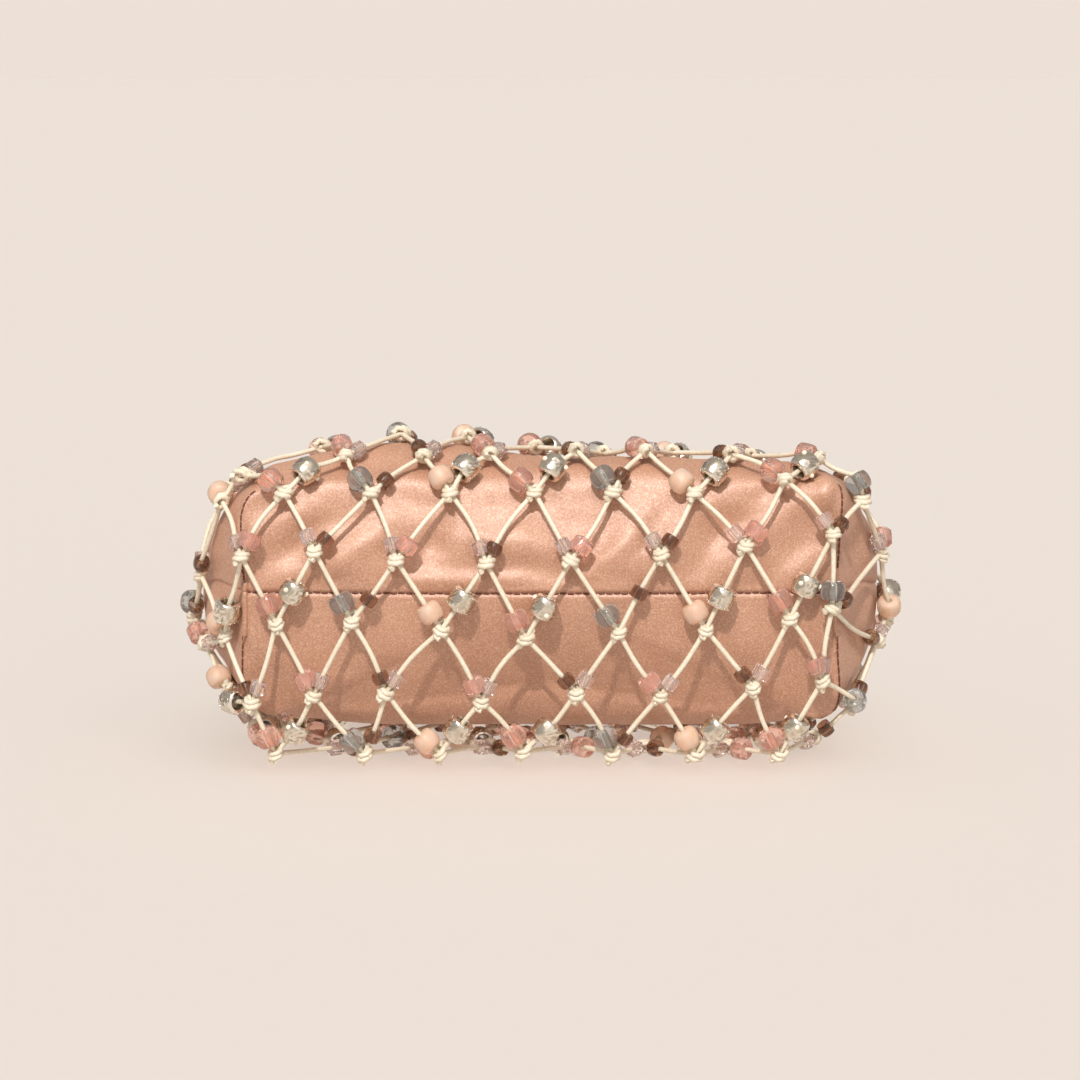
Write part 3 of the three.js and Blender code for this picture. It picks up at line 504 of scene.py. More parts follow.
# The knots of the base rows: distance round the base from its middle, and height. Past BASE_REACH
# they lie on the sides. Wide rows have twelve knots and narrow rows eleven.
BASE_ROWS = {
    "A1": [(-150, 96), (-120, 95), (-91, 102), (-60, 102), (-32, 102), (-2, 102), (26, 102),
           (55, 102), (87, 107), (118, 97), (148, 92)],
    "B1": [(-165, 66), (-135, 68), (-106, 80), (-80, 82), (-51, 79), (-19, 78), (11, 79), (43, 81),
           (73, 84), (104, 88), (135, 75), (165, 70)],
    "A2": [(-150, 50), (-112, 49), (-94, 56), (-67, 57), (-35, 54), (-5, 51), (28, 53), (59, 54),
           (89, 58), (104, 61), (150, 49)],
    "B2": [(-165, 43), (-135, 43), (-103, 27), (-81, 30), (-55, 31), (-21, 28), (13, 31), (43, 30),
           (76, 33), (101, 35), (132, 44), (165, 42)],
    "A3": [(-150, 26), (-120, 29), (-95, 8), (-63, 8), (-36, 8), (-6, 9), (26, 8), (56, 8), (86, 8),
           (118, 24), (150, 24)],
}
EDGE_ROW = [(-113, 60), (-112, 32), (-104, 14), (-70, 16), (-42, 16), (-18, 16), (13, 16), (38, 16),
            (69, 15), (100, 14), (112, 32), (113, 60)]
KNOT_OFF = 5.9                # how far a knot on the base stands off the satin, mm
LEAST_OFF, OVER_OFF = 4.4, 4.6    # least distance from the satin, on the base and above it
SIDE_OFF, UNDER_OFF = 4.2, 4.5    # the same on a side, and below the base
BASE_REACH = 107              # past this distance from the middle a knot lies on a side
SIDE_START = 105              # the distance that counts as the near end of a side
UNDER_Z, OVER_Z = 14, 92      # knots below and above these turn round the edges of the base


def base_knot(u, z):
    """A knot of the base or a side, and which way is out."""
    if abs(u) > BASE_REACH:
        side = 1 if u > 0 else -1
        where, out = hit((side * 160, abs(u) - SIDE_START, z), (-side, 0, 0))
        return where + out * SIDE_OFF, out
    if z < UNDER_Z:
        return np.array([u, -UNDER_OFF, z]), np.array([0, -1, 0])
    satin_y = hit((u, -40, min(z, 99)), (0, 1, 0))[0][1]
    if z > OVER_Z:
        return np.array([u, satin_y - OVER_OFF, z]), np.array([0, -1, 0.35])
    swell = 1 - ((z - 61) / BASE_HALF_HEIGHT) ** 2
    crown = CROWN * (1 - (u / BASE_HALF_WIDTH) ** 2) * max(0, swell)
    y = min(satin_y - LEAST_OFF, -max(crown, 0) - KNOT_OFF)
    return np.array([u, y, z]), np.array([0, -1, 0])


def row_along(first, last, share, count):
    """A row of knots between two rows of (x, y), with the narrow row between its neighbours."""
    row = [np.array(a, float) * (1 - share) + np.array(b, float) * share
           for a, b in zip(first, last)]
    return row if count == 12 else [(a + b) / 2 for a, b in zip(row, row[1:])]


rows = []                     # (name, list of (place, out)) from the front's mouth to the back's
mouth_row = [(x, 130) for x in np.linspace(-80, 80, 12)]
for index, share in enumerate((1, 0.86, 0.71, 0.55, 0.38, 0.19, 0)):
    knots = []
    for x, y in row_along(EDGE_ROW, mouth_row, share, 12 if index % 2 == 0 else 11):
        widest = along(HALF_WIDTH, y) - 8
        where, out = hit((min(max(x, -widest), widest), y, 200), (0, 0, -1), True)
        lift = 3.6 if share > 0 else 5.0
        knots.append((where + out * lift, out))
    rows.append(("F%d" % (6 - index) if share > 0 else "B0", knots))
for name, places in BASE_ROWS.items():
    rows.append((name, [base_knot(u, z) for u, z in places]))
back_row = [(x, 127) for x in np.linspace(-75, 75, 12)]
for index, share in enumerate((0, 0.2, 0.4, 0.6, 0.8, 1)):
    knots = []
    height = 6.2 if index == 0 else 5.4          # so that the beads rest on the floor
    for x, y in row_along(EDGE_ROW, back_row, share, 12 if index % 2 == 0 else 11):
        rise = 0.9 * max(0, abs(x) - 96)         # the net turns up at the sides
        knots.append((np.array([x, y, height + rise]), np.array([0.0, 0, -1])))
    rows.append(("K%d" % (index + 1), knots))
ROW_AT = {name: i for i, (name, _) in enumerate(rows)}
EDGE = ROW_AT["B0"]

# The strands: (upper row, upper knot, lower row, lower knot, left or right of the lower knot).
strands = []
for r in range(len(rows) - 1):
    narrow_below = len(rows[r + 1][1]) == 11
    for k in range(11):
        for wide in (k, k + 1):
            top, low = (wide, k) if narrow_below else (k, wide)
            leaning_left = (top <= low) if narrow_below else (top < low)
            strands.append((r, top, r + 1, low, "left" if leaning_left else "right"))
for r in range(0, len(rows) - 2, 2):
    strands += [(r, 0, r + 2, 0, "edge"), (r, 11, r + 2, 11, "edge")]

# Each strand carries a bead just above its lower knot. Narrow rows repeat in threes and wide rows
# in pairs. HOLD_UP gives the beads that sit further up, as mm from the knot along the cord.
SIZE = {"silver_rose": (5.0, 8.0), "silver_stone": (5.0, 8.0), "pink": (4.5, 6.8),
        "grey": (4.5, 6.8), "peach": (4.5, 7.0), "hex": (4.0, 5.8), "brown": (3.1, 4.7),
        "clear": (3.0, 5.0)}          # radius and length, mm
HOLD_UP = {("A2", 4, "left"): 13.0, ("A2", 6, "right"): 16.0, ("A2", 3, "right"): 10.0}


def beads_at(row, knot):
    """The kinds of bead on the left and right cords above a knot."""
    if row[0] in "AKF" and len(rows[ROW_AT[row]][1]) == 11:
        return (("pink", "silver_rose"), ("grey", "brown"), ("peach", "silver_stone"))[(knot - 2) % 3]
    even = (knot - 2) % 2 == 0
    if row in ("B1", "F2", "K1", "K5"):
        return ("clear", "hex" if even else "brown")
    return ("brown" if even else "hex", "clear")


slides = {}                   # the sliding beads' nodes, by row, knot and side
for kind, side in (("pink", "left"), ("grey", "left"), ("peach", "left"), ("silver", "right")):
    for knot in range(1, 8):
        node = "bead_%s_lower_%d" % (kind, knot)
        if node in frame["nodes"]:
            slides["A2", knot + 1, side] = node
axes = {joint["child"]: Vector(joint["axis"]) for joint in frame["joints"]}

POINTS = 15                   # along each strand
FIRST_BEAD = 3.3              # from a knot's middle to the end of its first bead, mm
paths = []
for r, top, low_row, low, side in strands:
    (start, out_a), (end, out_b) = rows[r][1][top], rows[low_row][1][low]
    share = np.linspace(0, 1, POINTS)[:, None]
    path = start * (1 - share) + end * share
    length = np.linalg.norm(end - start)
    name = rows[low_row][0]
    kind = None
    if side != "edge":
        kind = beads_at(name, low)[0 if side == "left" else 1]
    sliding = slides.get((name, low, side))
    distance = 0
    if kind:
        distance = FIRST_BEAD + SIZE[kind][1] / 2
        if side == "right":           # the right bead sits clear of the left one
            left = beads_at(name, low)[0]
            distance = max(distance, FIRST_BEAD + SIZE[left][1] / 2 - 1)
            if SIZE[kind][0] + SIZE[left][0] > 7.4:
                distance += 1.6
            if SIZE[kind][0] + SIZE[left][0] > 9:
                distance += 2.4
        distance = HOLD_UP.get((name, low, side), distance)
        if sliding:
            centre = sum(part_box(sliding), Vector()) / 2
            distance = np.linalg.norm(to_bag(centre) - end)
    # the least distance of each point of the cord from the satin
    at = (1 - share[:, 0]) * length
    keep = np.full(POINTS, 2.0)
    if kind:
        keep = np.maximum(keep, (SIZE[kind][0] + 0.5) * np.exp(-((at - distance) / 6) ** 4))
    keep = np.maximum(keep, 3.0 * np.exp(-(at / 4) ** 2))
    keep = np.maximum(keep, 3.0 * np.exp(-((length - at) / 4) ** 2))
    paths.append(SimpleNamespace(
        points=path, keep=keep, under=r > ROW_AT["A3"], low_row=low_row, low=low,
        front=low_row <= EDGE, kind=kind, distance=distance, sliding=sliding, out=out_a + out_b))


def satin_near(point):
    """The nearest place on the satin, and which way it faces, in bag mm."""
    best = None
    for half in (True, False):
        place, normal, _, distance = skin[half].find_nearest(to_room(point))
        if place is not None and (best is None or distance < best[2]):
            best = (place, normal, distance)
    return to_bag(best[0]), np.array(best[1])


# The strands settle: each draws itself straight and is held off the satin and its own bead.
for strand in paths:
    path, keep = strand.points, strand.keep
    for _ in range(14):
        path[1:-1] = 0.5 * path[1:-1] + 0.25 * (path[:-2] + path[2:])
        for i in range(1, POINTS - 1):
            near, out = satin_near(path[i])
            # outward is the way from the bag's middle, which the seams' grooves don't disturb
            middle = [np.clip(near[0], -85, 85), max(near[1], 25), np.clip(near[2], 35, 80)]
            away = path[i] - near
            gap = float(np.linalg.norm(away)) * (1 if away @ (near - middle) > 0 else -1)
            if abs(gap) > 0.3:
                out = away / gap
            if gap < keep[i]:
                path[i] = path[i] + out * (keep[i] - gap) * 0.9
            if strand.under:
                path[i][2] = max(path[i][2], CORD + 0.3)
    # a cord that has been knotted keeps a slight bow
    bow = 0 if strand.sliding else rng.uniform(-1.7, 1.7)
    run = path[-1] - path[0]
    across = np.cross(strand.out, run)
    across = across / max(np.linalg.norm(across), 1e-6)
    path[:, :] += np.sin(np.linspace(0, pi, POINTS))[:, None] ** 1.3 * across * bow


def cords(name, lines, radius=CORD * MM, waver=0.06, roundness=2, place=to_room):
    """Round cords along lines of points, as one mesh. place turns a point's mm into its place."""
    curve = bpy.data.curves.new(name, "CURVE")
    curve.dimensions = "3D"
    curve.bevel_depth = radius
    curve.bevel_resolution = roundness
    curve.use_fill_caps = True
    for line in lines:
        spline = curve.splines.new("POLY")
        spline.points.add(len(line) - 1)
        for i, p in enumerate(line):
            spline.points[i].co = (*place(p), 1)
            spline.points[i].radius = 1 + waver * noise.noise(Vector(p) / 3)
    made = bpy.data.objects.new(name, curve)
    bpy.context.collection.objects.link(made)
    only(made)
    bpy.ops.object.convert(target="MESH")
    bpy.ops.object.shade_smooth()
    return made


# A knot: the cords go in at the top, and one of them is wound two and a half times round the rest.
# It is modelled in mm round the origin, from few faces.
turns, segments = 2.6, 17
winding = []
for i in range(segments + 1):
    s = i / segments
    angle = 2 * pi * turns * s + 0.6
    swell = 1.75 + 0.65 * sin(pi * s)
    winding.append((swell * cos(angle), 0.95 * swell * sin(angle),
                    2.2 * (1 - 2 * s) + 1.3 * sin(angle + 0.5)))
knot = cords("knot", [winding], radius=1.0, waver=0, roundness=1, place=Vector)


def copies(name, model, placements):
    """Copies of a model, each a matrix from its own mm to the frame, joined as one mesh."""
    made = []
    for matrix in placements:
        one = model.copy()
        one.data = model.data.copy()
        bpy.context.collection.objects.link(one)
        one.data.transform(matrix)
        one.matrix_world = Matrix.Identity(4)
        made.append(one)
    return join(name, made)


def stand(place, up, out, turn=0.0, scale=1.0):
    """A matrix that puts a model at a place, its Z along up and its -Y towards out."""
    z = Vector(up).normalized()
    y = -(Vector(out) - Vector(out).dot(z) * z).normalized()
    x = y.cross(z)
    basis = Matrix((x, y, z)).transposed() @ Matrix.Rotation(turn, 3, "Z")
    return Matrix.Translation(to_room(place)) @ basis.to_4x4() @ Matrix.Scale(MM * scale, 4)


knot_places = {True: [], False: []}
ends = {}
for strand in paths:
    path = strand.points
    ends.setdefault((strand.low_row, strand.low), []).append(path[-3] - path[-1])
for r, (name, knots) in enumerate(rows):
    for k, (where, out) in enumerate(knots):
        ways = ends.get((r, k), [])
        up = sum(ways) if ways else np.array([0, 1.0, 0])
        if np.linalg.norm(up) < 0.5:
            up = np.array([0, 0, 1.0])
        matrix = stand(where, up, out, rng.uniform(-0.5, 0.5), rng.uniform(0.92, 1.06))
        tilt = Matrix.Rotation(rng.uniform(-0.45, 0.45), 4, "Y")
        knot_places[r < EDGE].append(matrix @ tilt)

net = {}
for front in (True, False):
    lines = [strand.points for strand in paths if strand.front == front]
    suffix = "front" if front else "body"
    net[front] = [cords("net_cords_" + suffix, lines),
                  copies("net_knots_" + suffix, knot, knot_places[front])]
bpy.data.objects.remove(knot)

# Waxed cotton cord: tightly braided, cream, with a dull wax gloss and a 0.6 mm braid that is drawn
# at 0.9 mm, and slightly darker where handling has rubbed wax in.
waxed, tree, place = new_material("waxed_cotton_cord")
braid = add(tree, "TexNoise", {"Vector": place, "Scale": 1 / 0.0009, "Detail": 1}).outputs[0]
rubbed = add(tree, "TexNoise", {"Vector": place, "Scale": 1 / 0.012, "Detail": 2}).outputs[0]
tone = add(tree, "Mix", {0: 0.35, 6: shades(tree, rubbed, "dccfb8", "eae0cc"),
                         7: shades(tree, braid, "c8b99c", "f0e8d6")}, data_type="RGBA")
bump = add(tree, "Bump", {"Height": braid, "Strength": 0.35, "Distance": 0.0002})
shader = add(tree, "BsdfPrincipled", {
    "Base Color": tone.outputs[2], "Roughness": 0.5, "Coat Weight": 0.15, "Coat Roughness": 0.35,
    "Subsurface Weight": 0.1, "Subsurface Radius": (0.001, 0.0008, 0.0005), "Subsurface Scale": 1.0,
    "Normal": bump.outputs[0]})
add(tree, "OutputMaterial", {"Surface": shader.outputs[0]})
for front, pieces in net.items():
    for piece in pieces:
        piece.data.materials.append(waxed)
        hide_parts("net_front_mouth" if front else "knotted_net")
        if front:
            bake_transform(piece)
        else:
            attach(piece, "bag")


# --- Seam stitches ------------------------------------------------------------------------------
# The base seam and the seams of the two boxed corners are sewn with dark rose polyester thread,
# about nine stitches to 25 mm, and the stitches sink into the fold of the satin.

STITCH_PITCH, STITCH_REACH = 2.75, 1.15          # between stitches, and half a stitch's length, mm
SEAM_END, SEAM_Z = 104.5, RIDGE[0][1]
stitches = []
for x in np.arange(-SEAM_END, SEAM_END + 0.1, STITCH_PITCH):
    line = []
    for step in (-STITCH_REACH, 0, STITCH_REACH):
        where, out = hit((x + step, -40, SEAM_Z + 0.12 * sin(x)), (0, 1, 0))
        line.append(where + [0, -0.28 if step == 0 else -0.02, 0])
    stitches.append(line)
for side in (-1, 1):
    for height in np.arange(-0.86, 0.9, 0.058):
        line = []
        for step in (-0.024, 0, 0.024):
            up = np.array([height + step])
            spot = pouch_point(np.array([float(side)]), up, np.array([0.5]), np.array([0.0]))[0]
            near, out = satin_near(spot)
            line.append(near + out * (0.3 if step == 0 else 0.05))
        stitches.append(line)
thread_piece = cords("seam_stitches", stitches, radius=0.34 * MM, waver=0, roundness=1)

# Polyester thread: spun, slightly glossy, dark rose brown, with a ply drawn at 0.5 mm.
thread, tree, place = new_material("dark_rose_thread")
ply = add(tree, "TexNoise", {"Vector": place, "Scale": 1 / 0.0005}).outputs[0]
bump = add(tree, "Bump", {"Height": ply, "Strength": 0.3, "Distance": 0.0001})
shader = add(tree, "BsdfPrincipled", {
    "Base Color": shades(tree, ply, "5b2f20", "7a4632"), "Roughness": 0.6,
    "Normal": bump.outputs[0]})
add(tree, "OutputMaterial", {"Surface": shader.outputs[0]})
thread_piece.data.materials.append(thread)
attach(thread_piece, "bag")


# --- Beads --------------------------------------------------------------------------------------
# Glass and metal beads are threaded on the cords, one on each cord that enters a knot. The glass is
# drawn cane, cut and tumbled; the silver ones are cast barrels with a wide bore and set studs.

def turned_bead(name, profile, sides):
    """A ring turned from its outline (radius, height in mm), and closed round the bore."""
    bpy.ops.object.select_all(action="DESELECT")
    bpy.ops.mesh.primitive_circle_add(vertices=len(profile), radius=1)
    made = bpy.context.object
    made.name = name
    for vertex, (radius, height) in zip(made.data.vertices, profile):
        vertex.co = (radius, 0, height)
    bpy.ops.object.mode_set(mode="EDIT")
    bpy.ops.mesh.select_all(action="SELECT")
    bpy.ops.mesh.spin(steps=sides, angle=2 * pi, center=(0, 0, 0), axis=(0, 0, 1))
    bpy.ops.mesh.select_all(action="SELECT")
    bpy.ops.mesh.remove_doubles(threshold=0.001)
    bpy.ops.mesh.normals_make_consistent(inside=False)
    bpy.ops.object.mode_set(mode="OBJECT")
    return made


def barrel(radius, length, bore, belly, steps):
    """The outline of a barrel: bore, then the rounded end, then the belly, and back."""
    half = length / 2
    points = [(bore, -half * 0.86)]
    for i in range(steps + 1):
        angle = -pi / 2 + pi * i / steps
        points.append((bore + 0.5 + (radius - bore - 0.5) * max(cos(angle), 0) ** belly,
                       half * sin(angle)))
    return points + [(bore, half * 0.86)]


# Each kind's outline, and how many sides it is turned with: the clear ones are six-sided cane.
OUTLINES = {
    "pink": (barrel(*SIZE["pink"], 1.05, 0.42, 8), 18),
    "grey": (barrel(*SIZE["grey"], 1.05, 0.42, 8), 18),
    "peach": (barrel(*SIZE["peach"], 1.05, 0.5, 9), 20),
    "brown": (barrel(*SIZE["brown"], 1.0, 0.4, 6), 14),
    "hex": ([(1.05, -2.6), (3.2, -2.9), (3.9, -2.3), (4.0, 0), (3.9, 2.3), (3.2, 2.9), (1.05, 2.6)], 14),
    "clear": ([(1.0, -2.3), (2.5, -2.5), (3.0, -2.0), (3.0, 2.0), (2.5, 2.5), (1.0, 2.3)], 6),
}
models = {kind: turned_bead(kind, *outline_and_sides) for kind, outline_and_sides in OUTLINES.items()}
for kind in ("peach", "pink", "grey", "hex", "brown"):
    only(models[kind])
    bpy.ops.object.shade_smooth_by_angle(angle=radians(40))


def glass(name, codes, roughness, clearness, bump_strength):
    """A tinted glass bead: colour, how polished it is, and how much light goes through."""
    made, tree, place = new_material(name)
    streak = add(tree, "TexNoise", {"Vector": place, "Scale": 1 / 0.004, "Detail": 2}).outputs[0]
    fine = add(tree, "TexNoise", {"Vector": place, "Scale": 1 / 0.0007, "Detail": 1}).outputs[0]
    bump = add(tree, "Bump", {"Height": fine, "Strength": bump_strength, "Distance": 0.0001})
    shader = add(tree, "BsdfPrincipled", {
        "Base Color": shades(tree, streak, *codes), "Roughness": roughness, "IOR": 1.5,
        "Transmission Weight": clearness, "Normal": bump.outputs[0]})
    add(tree, "OutputMaterial", {"Surface": shader.outputs[0]})
    return made


# Cast silver, painted bright on the raised parts and shoulders and grey in the relief's hollows and
# its bore: painted shade where shade falls, and painted light on the tops. Its fine grit is drawn at 1.4
# mm.
cast_silver, tree, place = new_material("cast_silver_painted_shade")
grit = add(tree, "TexNoise", {"Vector": place, "Scale": 1 / 0.0014, "Detail": 2}).outputs[0]
raised = add(tree, "Attribute", attribute_name="raised").outputs["Fac"]
relief_and_grit = add(tree, "Math", {0: raised, 1: grit}, operation="ADD")
worn = add(tree, "Bump", {"Height": grit, "Strength": 0.12, "Distance": 0.0003})
gloss = add(tree, "MapRange", {0: relief_and_grit.outputs[0], 1: 0.5, 2: 1.3, 3: 0.4, 4: 0.12})
# colour from the relief: painted shade in the hollows and the bore, painted light on the raised parts
tone = add(tree, "MapRange", {0: relief_and_grit.outputs[0], 1: 0.3, 2: 1.5, 3: 0.3, 4: 0.7})
shader = add(tree, "BsdfPrincipled", {
    "Base Color": shades(tree, tone.outputs[0], "7d705e", "c9bda8", "ebe2d2", "f8f3ea"),
    "Metallic": 1.0, "Roughness": gloss.outputs[0], "Normal": worn.outputs[0]})
add(tree, "OutputMaterial", {"Surface": shader.outputs[0]})

# Imitation pearl: lacquered glass, ivory, soft gloss.
pearl, tree, place = new_material("lacquered_pearl")
lustre = add(tree, "TexNoise", {"Vector": place, "Scale": 1 / 0.002}).outputs[0]
shader = add(tree, "BsdfPrincipled", {
    "Base Color": shades(tree, lustre, "e9dcc2", "fbf4e4"), "Roughness": 0.18, "Coat Weight": 0.5,
    "Sheen Weight": 0.2})
add(tree, "OutputMaterial", {"Surface": shader.outputs[0]})

# Paste stones: foil-backed cut glass 0.8 mm across, which reads as small bright mirrors.
paste, tree, place = new_material("foiled_paste_stone")
facet = add(tree, "TexVoronoi", {"Vector": place, "Scale": 1 / 0.0012}).outputs["Color"]
tone = add(tree, "Mix", {0: 0.08, 6: hex_colour("e3ded4"), 7: facet}, data_type="RGBA")
shader = add(tree, "BsdfPrincipled", {
    "Base Color": tone.outputs[2], "Metallic": 0.85, "Roughness": 0.1})
add(tree, "OutputMaterial", {"Surface": shader.outputs[0]})

# The silver barrels: both have three roses in relief, one with pearls between them and one with
# paste stones round its shoulders.
PEARL, STONE = 0.95, 0.42     # radii, mm
STONES = 15                   # round each shoulder
SILVER_RADIUS = 4.7           # of the barrel under the relief, mm
for kind in ("silver_rose", "silver_stone"):
    body = turned_bead(kind, barrel(SILVER_RADIUS, 8.0, 2.4, 0.6, 14), 40)
    points = np.array([v.co for v in body.data.vertices])
    angle, outer = np.arctan2(points[:, 1], points[:, 0]), np.hypot(points[:, 0], points[:, 1])
    # raised_by is painted light and shade: rose tops and shoulders lighter, hollows darker, the bore
    # darkest
    raised_by = np.full(len(points), 0.45)
    for turn in (0, 2 * pi / 3, -2 * pi / 3):
        swing = np.angle(np.exp(1j * (angle - turn))) * SILVER_RADIUS
        away = np.hypot(swing, points[:, 2])
        petal = np.arctan2(points[:, 2], swing)
        near_rose = np.exp(-(away / 2.6) ** 6) * (outer > 3.2)
        cut = np.cos(5 * petal + 3.4 * away)
        points[:, :2] *= (1 + near_rose * 0.34 * cut / outer)[:, None]
        raised_by = np.where(near_rose > 0.3, 0.5 + 0.5 * cut, raised_by)
    raised_by = np.where(np.abs(points[:, 2]) > 3.2, 0.9, raised_by)
    raised_by = np.where(outer < 2.6, 0.0, raised_by)
    body.data.vertices.foreach_set("co", points.astype(np.float32).ravel())
    attribute = body.data.attributes.new("raised", "FLOAT", "POINT")
    attribute.data.foreach_set("value", raised_by.astype(np.float32))
    only(body)
    bpy.ops.object.shade_smooth_by_angle(angle=radians(50))
    body.data.materials.append(cast_silver)
    if kind == "silver_rose":
        studs = [(pi / 3 + k * 2 * pi / 3, z, PEARL) for k, z in enumerate((1.7, -1.6, 0.4))]
    else:
        studs = [(2 * pi * (k + 0.5) / STONES, z, STONE) for z in (-3.0, 3.0) for k in range(STONES)]
    pieces = [body]
    for angle, z, size in studs:
        out = 2.9 + 1.75 * max(1 - (z / 4) ** 2, 0) ** 0.3
        bpy.ops.object.select_all(action="DESELECT")
        bpy.ops.mesh.primitive_ico_sphere_add(subdivisions=2 if kind == "silver_rose" else 1,
                                              radius=size,
                                              location=(out * cos(angle), out * sin(angle), z))
        stud = bpy.context.object
        bpy.ops.object.transform_apply(location=True, rotation=True, scale=True)
        bpy.ops.object.shade_smooth()
        stud.data.materials.append(pearl if kind == "silver_rose" else paste)
        pieces.append(stud)
    models[kind] = join(kind, pieces)


# Coloured soda glass, drawn and tumbled: clear and wet-bright, with faint streaks along the cane.
# The peach beads are etched in acid, so they are matt and glow through.
finishes = {
    "pink": glass("coral_pink_glass", ("ffcab7", "ffdfd2"), 0.03, 0.85, 0.03),
    "hex": glass("salmon_cut_glass", ("ffc9b8", "ffe0d5"), 0.06, 0.8, 0.05),
    "grey": glass("smoke_grey_glass", ("c6c6c3", "dededb"), 0.03, 0.9, 0.03),
    "peach": glass("frosted_peach_glass", ("ffd8b8", "ffe8d4"), 0.45, 0.5, 0.3),
    "brown": glass("amethyst_brown_glass", ("966a50", "bb9478"), 0.05, 0.9, 0.04),
    "clear": glass("pale_rose_clear_glass", ("ffe9e2", "fff6f2"), 0.08, 0.85, 0.06),
}
for kind, material in finishes.items():
    models[kind].data.materials.append(material)

threaded = {}
sliding_beads = []
for strand in paths:
    kind, distance, sliding = strand.kind, strand.distance, strand.sliding
    if not kind:
        continue
    if sliding:
        centre = to_bag(sum(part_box(sliding), Vector()) / 2)
        sliding_beads.append((sliding, kind, centre))
        continue
    backward = strand.points[::-1]
    steps = np.linalg.norm(np.diff(backward, axis=0), axis=1)
    walked = np.concatenate([[0], np.cumsum(steps)])
    if walked[-1] < distance + 5:
        continue
    centre = np.array([np.interp(distance, walked, backward[:, i]) for i in range(3)])
    ahead = np.array([np.interp(distance + 2, walked, backward[:, i]) for i in range(3)])
    behind = np.array([np.interp(distance - 2, walked, backward[:, i]) for i in range(3)])
    near, out = satin_near(centre)
    # the wide bore of a silver bead lets it hang aslant
    tilt = Matrix.Rotation(rng.uniform(-0.22, 0.22) if "silver" in kind else 0, 4, "X")
    matrix = stand(centre, ahead - behind, out, rng.uniform(0, 2 * pi)) @ tilt
    threaded.setdefault((kind, strand.front), []).append(matrix)

REPLACED = {"pink": "bead_pink_upper bead_pink_middle", "grey": "bead_grey_upper",
            "peach": "bead_peach_upper", "silver_rose": "foot_bead"}
for (kind, front), placements in sorted(threaded.items()):
    piece = copies("beads_%s_%s" % (kind, "front" if front else "body"), models[kind], placements)
    if front:
        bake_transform(piece)
        continue
    for start in REPLACED.get(kind, "").split():
        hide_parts(*[name for name in frame["nodes"] if name.startswith(start)])
    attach(piece, "bag")


# --- Sliding beads ------------------------------------------------------------------------------
# The beads just below the base seam are loose on their cords and slide a few millimetres up from
# their knots. Each is a piece of its own.

for node, kind, centre in sliding_beads:
    near, out = satin_near(centre)
    matrix = stand(centre, axes[node], out, rng.uniform(0, 2 * pi))
    piece = copies(node.replace("bead_", "sliding_"), models[kind], [matrix])
    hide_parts(node)
    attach(piece, node)
for model in models.values():
    bpy.data.objects.remove(model)


# --- Floor, light and camera --------------------------------------------------------------------
# A plain sheet of warm white paper, one sun-like lamp from high on the left of the camera with a
# softbox above it, and soft fill. A lamp of its own lights the paper evenly, and the studio behind
# has the paper's colour.

bpy.ops.object.select_all(action="DESELECT")
bpy.ops.mesh.primitive_plane_add(size=120)
paper_floor = bpy.context.object
paper_floor.name = "paper_floor"
paper, tree, place = new_material("warm_white_paper")
tooth = add(tree, "TexNoise", {"Vector": place, "Scale": 1 / 0.002}).outputs[0]
bump = add(tree, "Bump", {"Height": tooth, "Strength": 0.02, "Distance": 0.0001})
shader = add(tree, "BsdfPrincipled", {"Base Color": hex_colour("e4ddd7"), "Roughness": 1.0,
                                      "Specular IOR Level": 0.0, "Normal": bump.outputs[0]})
add(tree, "OutputMaterial", {"Surface": shader.outputs[0]})
paper_floor.data.materials.append(paper)

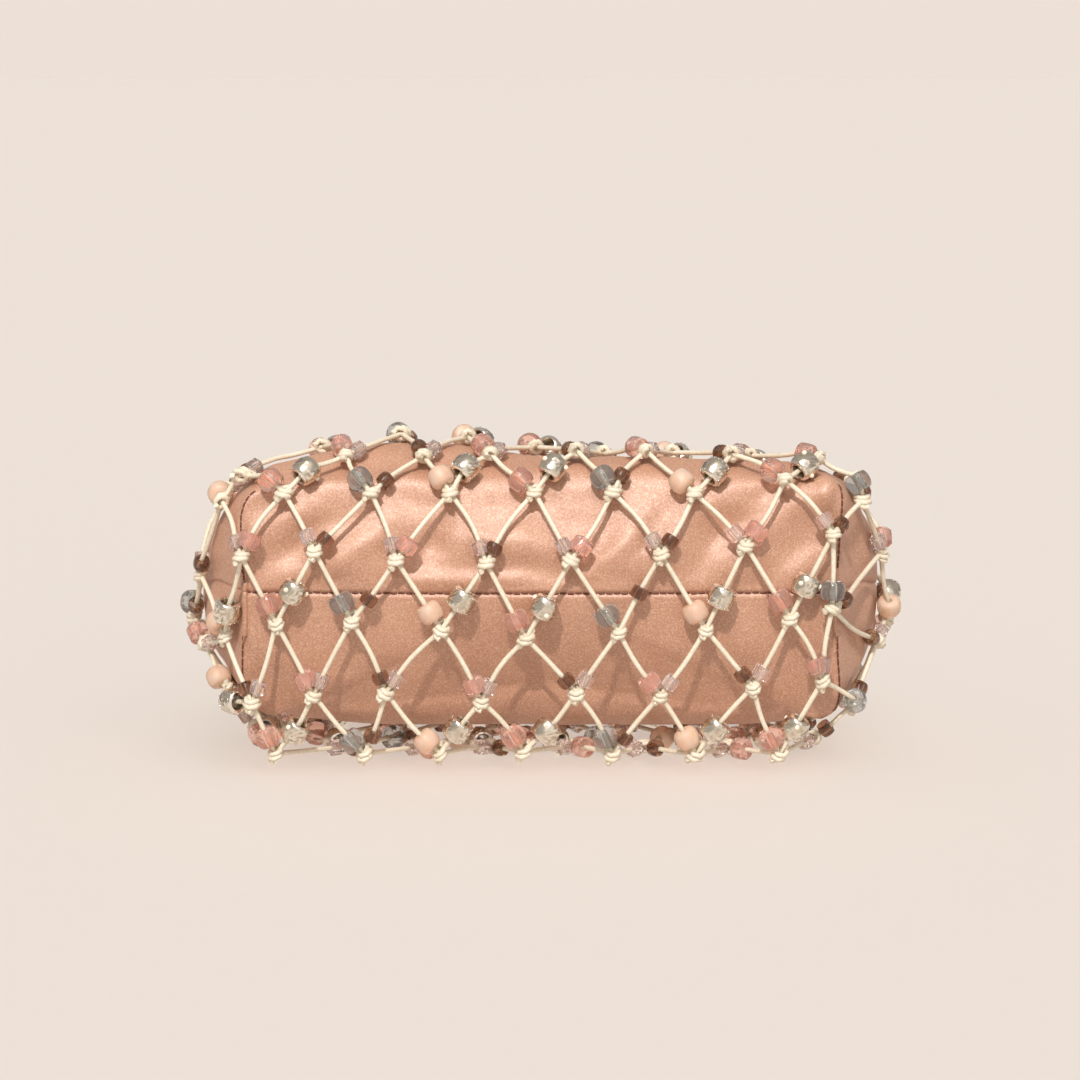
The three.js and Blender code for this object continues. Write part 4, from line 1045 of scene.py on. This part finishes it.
world = bpy.data.worlds.new("studio")
bpy.context.scene.world = world
world.use_nodes = True
tree = world.node_tree
tree.nodes.clear()
glow = add(tree, "Background", {"Color": hex_colour("fff6ef"), "Strength": 0.42})
seen = add(tree, "Background", {"Color": hex_colour("ede1d7"), "Strength": 1.0})
choose = add(tree, "MixShader", {"Fac": add(tree, "LightPath").outputs["Is Camera Ray"],
                                 1: glow.outputs[0], 2: seen.outputs[0]})
add(tree, "OutputWorld", {"Surface": choose.outputs[0]})


def lamp(name, kind, place, target, energy, **settings):
    """A lamp at a place, turned to a target."""
    data = bpy.data.lights.new(name, kind)
    data.energy = energy
    for key, value in settings.items():
        setattr(data, key, value)
    made = bpy.data.objects.new(name, data)
    made.location = place
    made.rotation_euler = (Vector(target) - Vector(place)).to_track_quat("-Z", "Y").to_euler()
    bpy.context.collection.objects.link(made)
    return made


def lights(light, thing, state):
    """Makes a lamp light everything but one thing ("EXCLUDE"), or that thing alone ("INCLUDE")."""
    group = bpy.data.collections.new(light.name + "_receivers")
    group.objects.link(thing)
    group.collection_objects[0].light_linking.link_state = state
    light.light_linking.receiver_collection = group


focus = Vector((0, base_y, 0.085))
from_left = (-0.42, -2.3, 2.3)
key = lamp("key", "SUN", from_left, (0, 0, 0), 2.35, angle=radians(2.2), color=(1, 0.98, 0.95))
box = lamp("softbox", "AREA", (-0.15, -1.0, 1.7), focus, 9, size=0.9, color=(1, 0.98, 0.96))
wash = lamp("wash", "SUN", from_left, (0, 0, 0), 2.6, angle=radians(3.5), color=(1, 0.98, 0.95),
            use_shadow=False)
lamp("fill", "SUN", (0.7, -2.3, 1.5), (0, 0, 0), 0.55, angle=radians(70), color=(1, 0.98, 0.96))
lights(key, paper_floor, "EXCLUDE")
lights(box, paper_floor, "EXCLUDE")
lights(wash, paper_floor, "INCLUDE")

camera = bpy.data.objects.new("camera", bpy.data.cameras.new("camera"))
bpy.context.collection.objects.link(camera)
camera.data.lens = 100
camera.data.sensor_width = 36
tilt = radians(9)
away = Vector((0, -cos(tilt), sin(tilt))) * 1.07
camera.location = focus + away
camera.rotation_euler = (-away).to_track_quat("-Z", "Y").to_euler()
bpy.context.scene.camera = camera
bpy.context.scene.view_settings.view_transform = "Standard"
